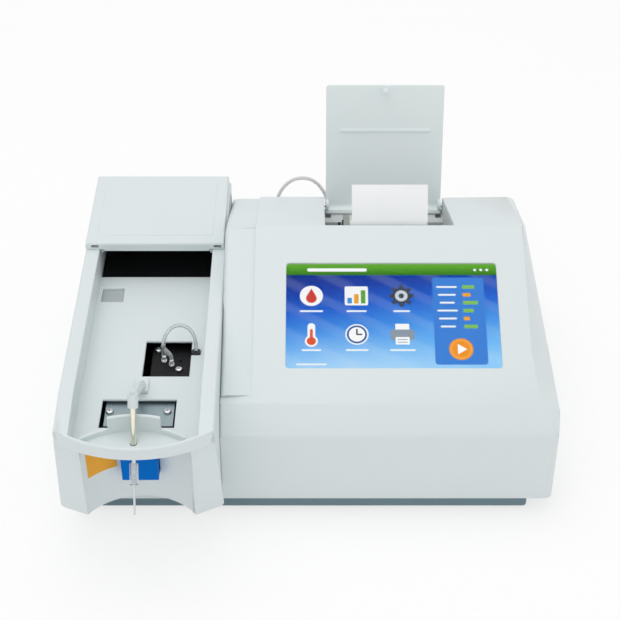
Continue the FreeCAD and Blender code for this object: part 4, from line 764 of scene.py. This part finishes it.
def toothed_wheel(radius, width, teeth):
    """A wheel on the X axis, in outline a ring of square teeth."""
    root = radius * 0.86
    outline = []
    for tooth in range(teeth):
        for share, reach in ((0.0, root), (0.2, radius), (0.5, radius), (0.7, root)):
            angle = math.tau * (tooth + share) / teeth
            outline.append((0.0, reach * math.cos(angle), reach * math.sin(angle)))
    return slab(outline, width)


wheels = []
for radius, place in ((0.0068, (0.0222, 0.0538, 0.118)), (0.0052, (0.0228, 0.0575, 0.1292)),
                      (0.0044, (0.0214, 0.0655, 0.1338))):
    wheel = toothed_wheel(radius, 0.0022, 22)
    wheel.transform(Matrix.Translation(place))
    wheels.append(wheel)
arm = cuboid((0.0244, 0.0505, 0.1235), (0.0258, 0.0695, 0.1385))
add_piece("drive_wheels", joined(arm, *wheels), head_plastic, sharp=20.0)

# The printer's cover: a thin lid of the shell's plastic, hinged on two steel pins behind the bay,
# with a stiffening rib and a pale peg inside its free edge.

# The shell's plastic again, painted paler: painted light, which brightens the lid beyond what the
# lamps give it.
lid_painted_light_plastic = moulded("lid_painted_light_plastic", "eaf2f2", 0.42, grain=1500.0, relief=0.05, drift=0.01,
                      Coat_Weight=0.1, Coat_Roughness=0.3, Specular_IOR_Level=0.3)
hinge_y, hinge_z, lid_lean = 0.1396, 0.104, math.radians(12.9)
lean_back = (Matrix.Translation((0.0599, hinge_y, hinge_z)) @ Matrix.Rotation(-lid_lean, 4, "X"))
# The lid, its rib and its peg take this paler copy, so they carry painted light.
dress_solid("printer_cover", lid_painted_light_plastic, "white_shell",
            (0.002, 60.0, lambda a, b: min(a.z, b.z) > 0.19 and (a - b).length < 0.004),
            (0.0006, 60.0, anywhere))
rib = cuboid((-0.036, 0.0030, 0.0618), (0.037, 0.0042, 0.0646), lean_back)
add_piece("lid_rib", rounded(rib, 0.0009), lid_painted_light_plastic, "printer_cover")
peg_shape = lathe([(0, 0), (0.0015, 0), (0.0015, 0.0022), (0.0023, 0.0031), (0.0026, 0.0041),
                   (0.0023, 0.0051), (0.0013, 0.0056), (0, 0.0057)])
peg_shape.transform(lean_back @ Matrix.Translation((0, 0.0042, 0.0970))
                    @ Matrix.Rotation(math.radians(90), 4, "X"))
peg = add_piece("cover_peg_dressed", peg_shape, lid_painted_light_plastic, "printer_cover")
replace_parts(peg, "cover_peg")
polished_steel = Finish("polished_steel", Metallic=1.0)
drawn = polished_steel.noise(1.0, 4.0, polished_steel.stretched(700.0, 60.0, 700.0))
touched = polished_steel.noise(45.0, 4.0, roughness=0.65)
polished_steel.set("Base Color", polished_steel.mix(touched, tint("c3c7ca"), tint("dde0e2")))
polished_steel.set("Roughness", 0.16 + drawn * 0.14 + touched * 0.06)
polished_steel.relief(drawn, 0.04)
paint(polished_steel, "hinge_pins", "platen_shaft")

# The sample module's shell: the tray walls, the nose with its concave panel and the two legs, in
# one moulding of the same plastic as the main cover.

dress_solid("module_shell", shell_plastic, "white_shell",
            (0.002, 40.0, lambda a, b: (a - b).length > 0.03 and (
                max(a.x, b.x) < -0.1695 or min(a.x, b.x) > -0.0665)),
            (0.001, 30.0, longer_than(0.004)), (0.0004, 60.0, anywhere))
# In the deck's small recess lies a thin grey block: painted shade, which stands in for the shade of a
# deeper recess.
recess_painted_shade = moulded("recess_painted_shade", "b3babb", 0.55, grain=600.0, relief=0.2)
recess_shade_block = rounded(cuboid((-0.1583, 0.0169, 0.0952), (-0.1422, 0.0334, 0.0978)), 0.0003)
add_piece("recess_tile", recess_shade_block, recess_painted_shade)

# The drip tray: a coated dish, set in the curved pocket behind the nose's lip.

dress_solid("drip_tray", shell_plastic, "stainless", (0.0005, 50.0, anywhere))

# The sliding cover: a lid that runs forward on the module's rims over the whole deck. Its top
# carries a slightly raised field, and its front a band with a gripping lip.

dress_solid("sliding_cover", shell_plastic, "white_shell",
            (0.0018, 60.0, lambda a, b: min(a.z, b.z) > 0.1285),
            (0.0018, 60.0, lambda a, b: abs(a.x - b.x) + abs(a.y - b.y) < 1e-5
             and a.y > 0.14 and (a - b).length > 0.008),
            (0.0005, 60.0, anywhere))
field_mesh = rounded(cuboid((-0.1640, 0.0620, 0.1280), (-0.0745, 0.1390, 0.12945)), 0.0012)
add_piece("slider_field", field_mesh, shell_plastic, "sliding_cover")

# The rear deck: a black anodised plate under the sliding cover.

anodised = moulded("black_anodised", "101113", 0.5, grain=2400.0, relief=0.14,
                   Specular_IOR_Level=0.2)
dress_solid("rear_deck", anodised, "black_anodised", (0.0003, 60.0, anywhere))

# The sampling needle: a steel tube in a slender guide and sleeve, held at the tray's lip by a
# clear tapered holder.

clear_plastic = Finish("clear_plastic", Base_Color=tint("f2f6f8"), IOR=1.3,
                       Transmission_Weight=0.85)
clear_cloud = clear_plastic.noise(60.0, 3.0)
clear_plastic.set("Roughness", 0.05 + clear_cloud * 0.05)
dress_solid("needle_guide", shell_plastic, "white_shell", (0.0008, 50.0, anywhere))
sleeve_steel = Finish("sleeve_steel", Metallic=1.0)
sleeve_turning = sleeve_steel.noise(300.0, 3.0)
sleeve_steel.set("Base Color", sleeve_steel.mix(sleeve_turning, tint("e9e6d4"), tint("f4f2e4")))
sleeve_steel.set("Roughness", 0.1 + sleeve_turning * 0.08)
paint(sleeve_steel, "needle_sleeve")
paint(polished_steel, "aspiration_needle")
dress_solid("needle_holder", clear_plastic, "clear_hose", (0.0002, 60.0, anywhere))
dress_solid("needle_bracket", zinc_sheet, "bracket_steel", (0.0002, 60.0, anywhere))

# The start key: a bright blue moulded lever in the nose, sprung forward off a small switch.

key_plastic = moulded("key_plastic", "006cc6", 0.42, grain=1500.0, relief=0.04,
                      Specular_IOR_Level=0.04)
dress_solid("trigger_key", key_plastic, "blue_key", (0.0006, 50.0, anywhere))
dress_solid("trigger_switch", head_plastic, "dark_plastic", (0.0003, 60.0, anywhere))

# The key's return spring: seven turns of drawn wire, wound by a tree along the key's axis.

wire = Finish("drawn_wire", Metallic=1.0)
along_wire = wire.noise(900.0, 2.0)
wire.set("Base Color", wire.mix(along_wire, tint("a8abad"), tint("c9cccd")))
wire.set("Roughness", 0.25 + along_wire * 0.15)
coils = bpy.data.node_groups.new("coil_tree", "GeometryNodeTree")
for label, way, kind in (("Turns", "INPUT", "NodeSocketFloat"),
                         ("Coil Radius", "INPUT", "NodeSocketFloat"),
                         ("Wire Radius", "INPUT", "NodeSocketFloat"),
                         ("Length", "INPUT", "NodeSocketFloat"),
                         ("Finish", "INPUT", "NodeSocketMaterial"),
                         ("Result", "OUTPUT", "NodeSocketGeometry")):
    coils.interface.new_socket(label, in_out=way, socket_type=kind)
winding = Graph(coils)
given = coils.nodes.new("NodeGroupInput")
turns, coil_radius, wire_radius, coil_length, skin = [Value(winding, given.outputs[index])
                                                      for index in range(5)]
centre_line = winding.node("GeometryNodeCurveSpiral", None, {
    "Resolution": 28, "Rotations": turns, "Start Radius": coil_radius, "End Radius": coil_radius,
    "Height": coil_length})
section = winding.node("GeometryNodeCurvePrimitiveCircle", None,
                       {"Resolution": 10, "Radius": wire_radius})
swept = winding.node("GeometryNodeCurveToMesh", None,
                     {"Curve": centre_line, "Profile Curve": section, "Fill Caps": True})
real = winding.node("GeometryNodeRealizeInstances", None, {"Geometry": swept})
skinned = winding.node("GeometryNodeSetMaterial", None, {"Geometry": real, "Material": skin})
winding.feed(coils.nodes.new("NodeGroupOutput").inputs[0], skinned)
spring_radius = 0.0036
spring_length = 0.02805
spring_seat = (-0.119, -0.11665, 0.064)
holder = bpy.data.objects.new("coil", bpy.data.meshes.new("coil"))
maker = holder.modifiers.new("wind", "NODES")
maker.node_group = coils
sizes = {"Turns": 7.0, "Coil Radius": spring_radius, "Wire Radius": spring_radius / 8,
         "Length": spring_length, "Finish": wire.material}
for item in coils.interface.items_tree:
    if item.in_out == "INPUT" and item.name in sizes:
        maker[item.identifier] = sizes[item.name]
spring_mesh = evaluated(holder)
bpy.data.objects.remove(holder)
spring_mesh.transform(Matrix.Translation(spring_seat)
                      @ Matrix.Rotation(math.radians(-90), 4, "X"))
spring = add_piece("trigger_spring_dressed", spring_mesh, wire)
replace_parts(spring, "trigger_spring")
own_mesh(spring)

# The plain amber patch beside the key: a film on the nose's panel, with no print.

amber = moulded("amber_film", "efab34", 0.42, grain=1200.0, relief=0.04, drift=0.03,
                Specular_IOR_Level=0.2)
dress_solid("amber_patch", amber, "amber_film")

# The flow cell: a black anodised block under the deck's window, with a quartz cell, two clear
# fittings and a clear tube that bends over between them.

dress_solid("flow_cell_block", anodised, "black_anodised", (0.0004, 60.0, anywhere))
quartz = Finish("quartz", Base_Color=tint("dff0f8"), IOR=1.46, Transmission_Weight=1.0)
quartz_haze = quartz.noise(400.0, 2.0)
quartz.set("Roughness", 0.02 + quartz_haze * 0.03)
paint(quartz, "flow_cell", "filter_glasses", "lamp")
soft_tube = Finish("soft_clear_tube", Base_Color=tint("f3f7f9"), IOR=1.36,
                   Transmission_Weight=0.8)
tube_haze = soft_tube.noise(120.0, 3.0)
soft_tube.set("Roughness", 0.08 + tube_haze * 0.08)
paint(soft_tube, "cell_fittings", "branch_tube")
dress_solid("tube_clip", head_plastic, "dark_plastic", (0.0002, 60.0, anywhere))

# The optical bench: a machined plate with the lamp's housing, the filter wheel on its motor, the
# cuvette block and the detector's board.

machined = Finish("machined_aluminium", Metallic=0.95)
tooling = machined.noise(1.0, 4.0, machined.stretched(900.0, 70.0, 900.0))
machined.set("Base Color", machined.mix(tooling, tint("a4a8ab"), tint("c4c8ca")))
machined.set("Roughness", 0.32 + tooling * 0.2)
machined.relief(tooling, 0.08)
dress_solid("optics_base", machined, "plain_aluminium", (0.0003, 60.0, anywhere))
dress_solid("lamp_housing", machined, "plain_aluminium", (0.0004, 60.0, anywhere))
paint(machined, "filter_wheel")
dress_solid("filter_motor", head_plastic, "dark_plastic", (0.0004, 60.0, anywhere))
dress_solid("cuvette_block", anodised, "black_anodised", (0.0004, 60.0, anywhere))

# The pump: a grey housing with its motor below, and a rotor of three rollers.

pump_plastic = moulded("pump_plastic", "777c80", 0.45, grain=1100.0, relief=0.08)
dress_solid("pump_housing", pump_plastic, "grey_plastic", (0.0005, 60.0, anywhere))
dress_solid("pump_motor", head_plastic, "dark_plastic", (0.0004, 60.0, anywhere))
dress_solid("pump_rotor", tub_plastic, "inner_plastic", (0.0003, 60.0, anywhere))

# The electronics: a green main board on the pan's studs, the detector's small board and a
# shielded power supply.

lacquer = Finish("board_lacquer", Coat_Weight=0.5, Coat_Roughness=0.12)
copper = lacquer.node("ShaderNodeTexBrick", {"offset": 0.5}, {
    "Vector": lacquer.place, "Scale": 260.0, "Mortar Size": 0.06, "Mortar Smooth": 0.3}, output=1)
weave = lacquer.noise(900.0, 2.0)
lacquer.set("Base Color", lacquer.mix(copper * 0.6 + weave * 0.3, tint("0c5a33"), tint("1c7d4c")))
lacquer.set("Roughness", 0.38 + weave * 0.12)
dress_solid("main_board", lacquer, "board_green")
dress_solid("detector_board", lacquer, "board_green")
dress_solid("power_supply", machined, "plain_aluminium", (0.0004, 60.0, anywhere))

# The rear wall: the pan's colour, with a fan and its seven blades, the mains inlet, a rocker
# switch, two sockets for data and the fittings of the waste hose.

dress_solid("rear_panel", pan_coat, "pan_paint", (0.0003, 60.0, anywhere))
dress_solid("fan_frame", head_plastic, "dark_plastic", (0.0004, 60.0, anywhere))
paint(head_plastic, "fan_rotor")
dress_solid("power_inlet", head_plastic, "dark_plastic", (0.0004, 60.0, anywhere))
dress_solid("switch_housing", head_plastic, "dark_plastic", (0.0004, 60.0, anywhere))
dress_solid("rocker_switch", head_plastic, "dark_plastic", (0.0004, 60.0, anywhere))
paint(polished_steel, "serial_port", "data_port", "hose_fittings")
pin_shape = blank(lathe([(0, 0), (0.00042, 0), (0.0005, 0.0002), (0.0005, 0.0042), (0.0003, 0.0048),
                         (0, 0.005)], 12))
pin_pitch = 0.00277
pin_places = [((0.048 + (column - (count - 1) / 2) * pin_pitch, 0.1412, height), (0, 1, 0))
              for count, height in ((5, 0.0394), (4, 0.0366)) for column in range(count)]
add_piece("serial_pins", copies("pin_places", pin_shape, pin_places, bright_steel), bright_steel)

# The hoses: clear flexible tube of 2.8 mm, pushed over barbed fittings. One loops out behind the
# machine and in again, the other hangs from the flow cell's tube down into its clip.

hose_diameter = 0.0028
hose_wall = 0.0006
milky_tube = Finish("soft_milky_tube", Base_Color=tint("f1eef0"), IOR=1.4,
                    Transmission_Weight=0.35)
milk = milky_tube.noise(120.0, 3.0)
milky_tube.set("Roughness", 0.25 + milk * 0.12)


def hose(name, node, finish, route):
    """A hollow tube along a smooth line through the route's points, in metres."""
    line = bpy.data.curves.new(name, "CURVE")
    line.dimensions = "3D"
    line.resolution_u = 16
    spline = line.splines.new("NURBS")
    spline.points.add(len(route) - 1)
    for point, place in zip(spline.points, route):
        point.co = (*place, 1.0)
    spline.order_u = 3
    spline.use_endpoint_u = True
    line.bevel_depth = hose_diameter / 2
    line.bevel_resolution = 5
    line.materials.append(finish.material)
    piece = bpy.data.objects.new(name, line)
    bpy.context.scene.collection.objects.link(piece)
    wall = piece.modifiers.new("wall", "SOLIDIFY")
    wall.thickness = hose_wall
    wall.offset = -1.0
    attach(piece, "analyzer")
    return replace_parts(piece, node)


hose("rear_hose_tube", "rear_hose", milky_tube, [
    (-0.027, 0.154, 0.07205), (-0.0279, 0.154, 0.08605), (-0.0274, 0.1544, 0.10405),
    (-0.0154, 0.1546, 0.12065), (0.002, 0.1546, 0.12125), (0.0139, 0.1544, 0.10505),
    (0.014, 0.154, 0.08705), (0.013, 0.154, 0.07205)])
hose("flow_hose_tube", "flow_hose", soft_tube, [
    (-0.1064, -0.0434, 0.1066), (-0.105, -0.0401, 0.1141), (-0.0975, -0.0352, 0.1192),
    (-0.0875, -0.0355, 0.1173), (-0.0827, -0.0406, 0.1097), (-0.0828, -0.0436, 0.1018)])

# The studio: a plain white floor and surround, and three broad soft lamps at a plain level.

studio = bpy.context.scene
studio.view_settings.view_transform = "Standard"
background = bpy.data.worlds.new("surround")
background.use_nodes = True
studio.world = background
surround = Graph(background.node_tree)
ray = background.node_tree.nodes.new("ShaderNodeLightPath")
seen = Value(surround, ray.outputs["Is Camera Ray"])
mirrored = Value(surround, ray.outputs["Is Glossy Ray"])
passing = Value(surround, ray.outputs["Is Transmission Ray"])
shown = surround.node("ShaderNodeMath", {"operation": "MINIMUM"},
                      {0: seen + mirrored + passing, 1: 1.0})
backdrop = background.node_tree.nodes["Background"]
surround.feed(backdrop.inputs["Color"], (1.0, 1.0, 1.0, 1.0))
ambient = 0.7
surround.feed(backdrop.inputs["Strength"], shown * (1.0 - ambient) + ambient)

floor_mesh = bpy.data.meshes.new("floor")
floor_mesh.from_pydata([(-3, -3, 0), (3, -3, 0), (3, 3, 0), (-3, 3, 0)], [], [(0, 1, 2, 3)])
floor = bpy.data.objects.new("floor", floor_mesh)
studio.collection.objects.link(floor)
floor_paper = Finish("floor_paper", Base_Color=tint("ffffff"), Roughness=0.9)
glow_sheet = floor_paper.tree.nodes.new("ShaderNodeEmission")
blend = floor_paper.tree.nodes.new("ShaderNodeMixShader")
floor_ray = floor_paper.tree.nodes.new("ShaderNodeLightPath")
direct = Value(floor_paper, floor_ray.outputs["Is Camera Ray"])
floor_paper.feed(blend.inputs[0], direct * 0.7)
floor_paper.feed(blend.inputs[1], Value(floor_paper, floor_paper.shader.outputs[0]))
floor_paper.feed(blend.inputs[2], Value(floor_paper, glow_sheet.outputs[0]))
floor_paper.feed(floor_paper.tree.nodes["Material Output"].inputs["Surface"],
                 Value(floor_paper, blend.outputs[0]))
floor.data.materials.append(floor_paper.material)

for name, place, aim, wide, power in (
        ("key_lamp", (-0.7, -1.0, 1.5), (0.0, 0.0, 0.06), 1.3, 2.8),
        ("fill_lamp", (1.2, -0.8, 1.1), (0.0, 0.0, 0.06), 1.2, 1.8),
        ("top_lamp", (-0.2, 0.3, 1.8), (0.0, 0.0, 0.06), 1.4, 7.5)):
    light = bpy.data.lights.new(name, "AREA")
    light.size = wide
    light.energy = power
    lamp = bpy.data.objects.new(name, light)
    lamp.location = place
    lamp.rotation_euler = (Vector(aim) - Vector(place)).to_track_quat("-Z", "Y").to_euler()
    studio.collection.objects.link(lamp)

eye = bpy.data.cameras.new("eye")
eye.lens = 89.42
eye.sensor_width = 36.0
camera = bpy.data.objects.new("eye", eye)
camera.location = (0.0, -0.905, 0.816)
camera.rotation_euler = (math.radians(51.84), 0.0, 0.0)
studio.collection.objects.link(camera)
studio.camera = camera
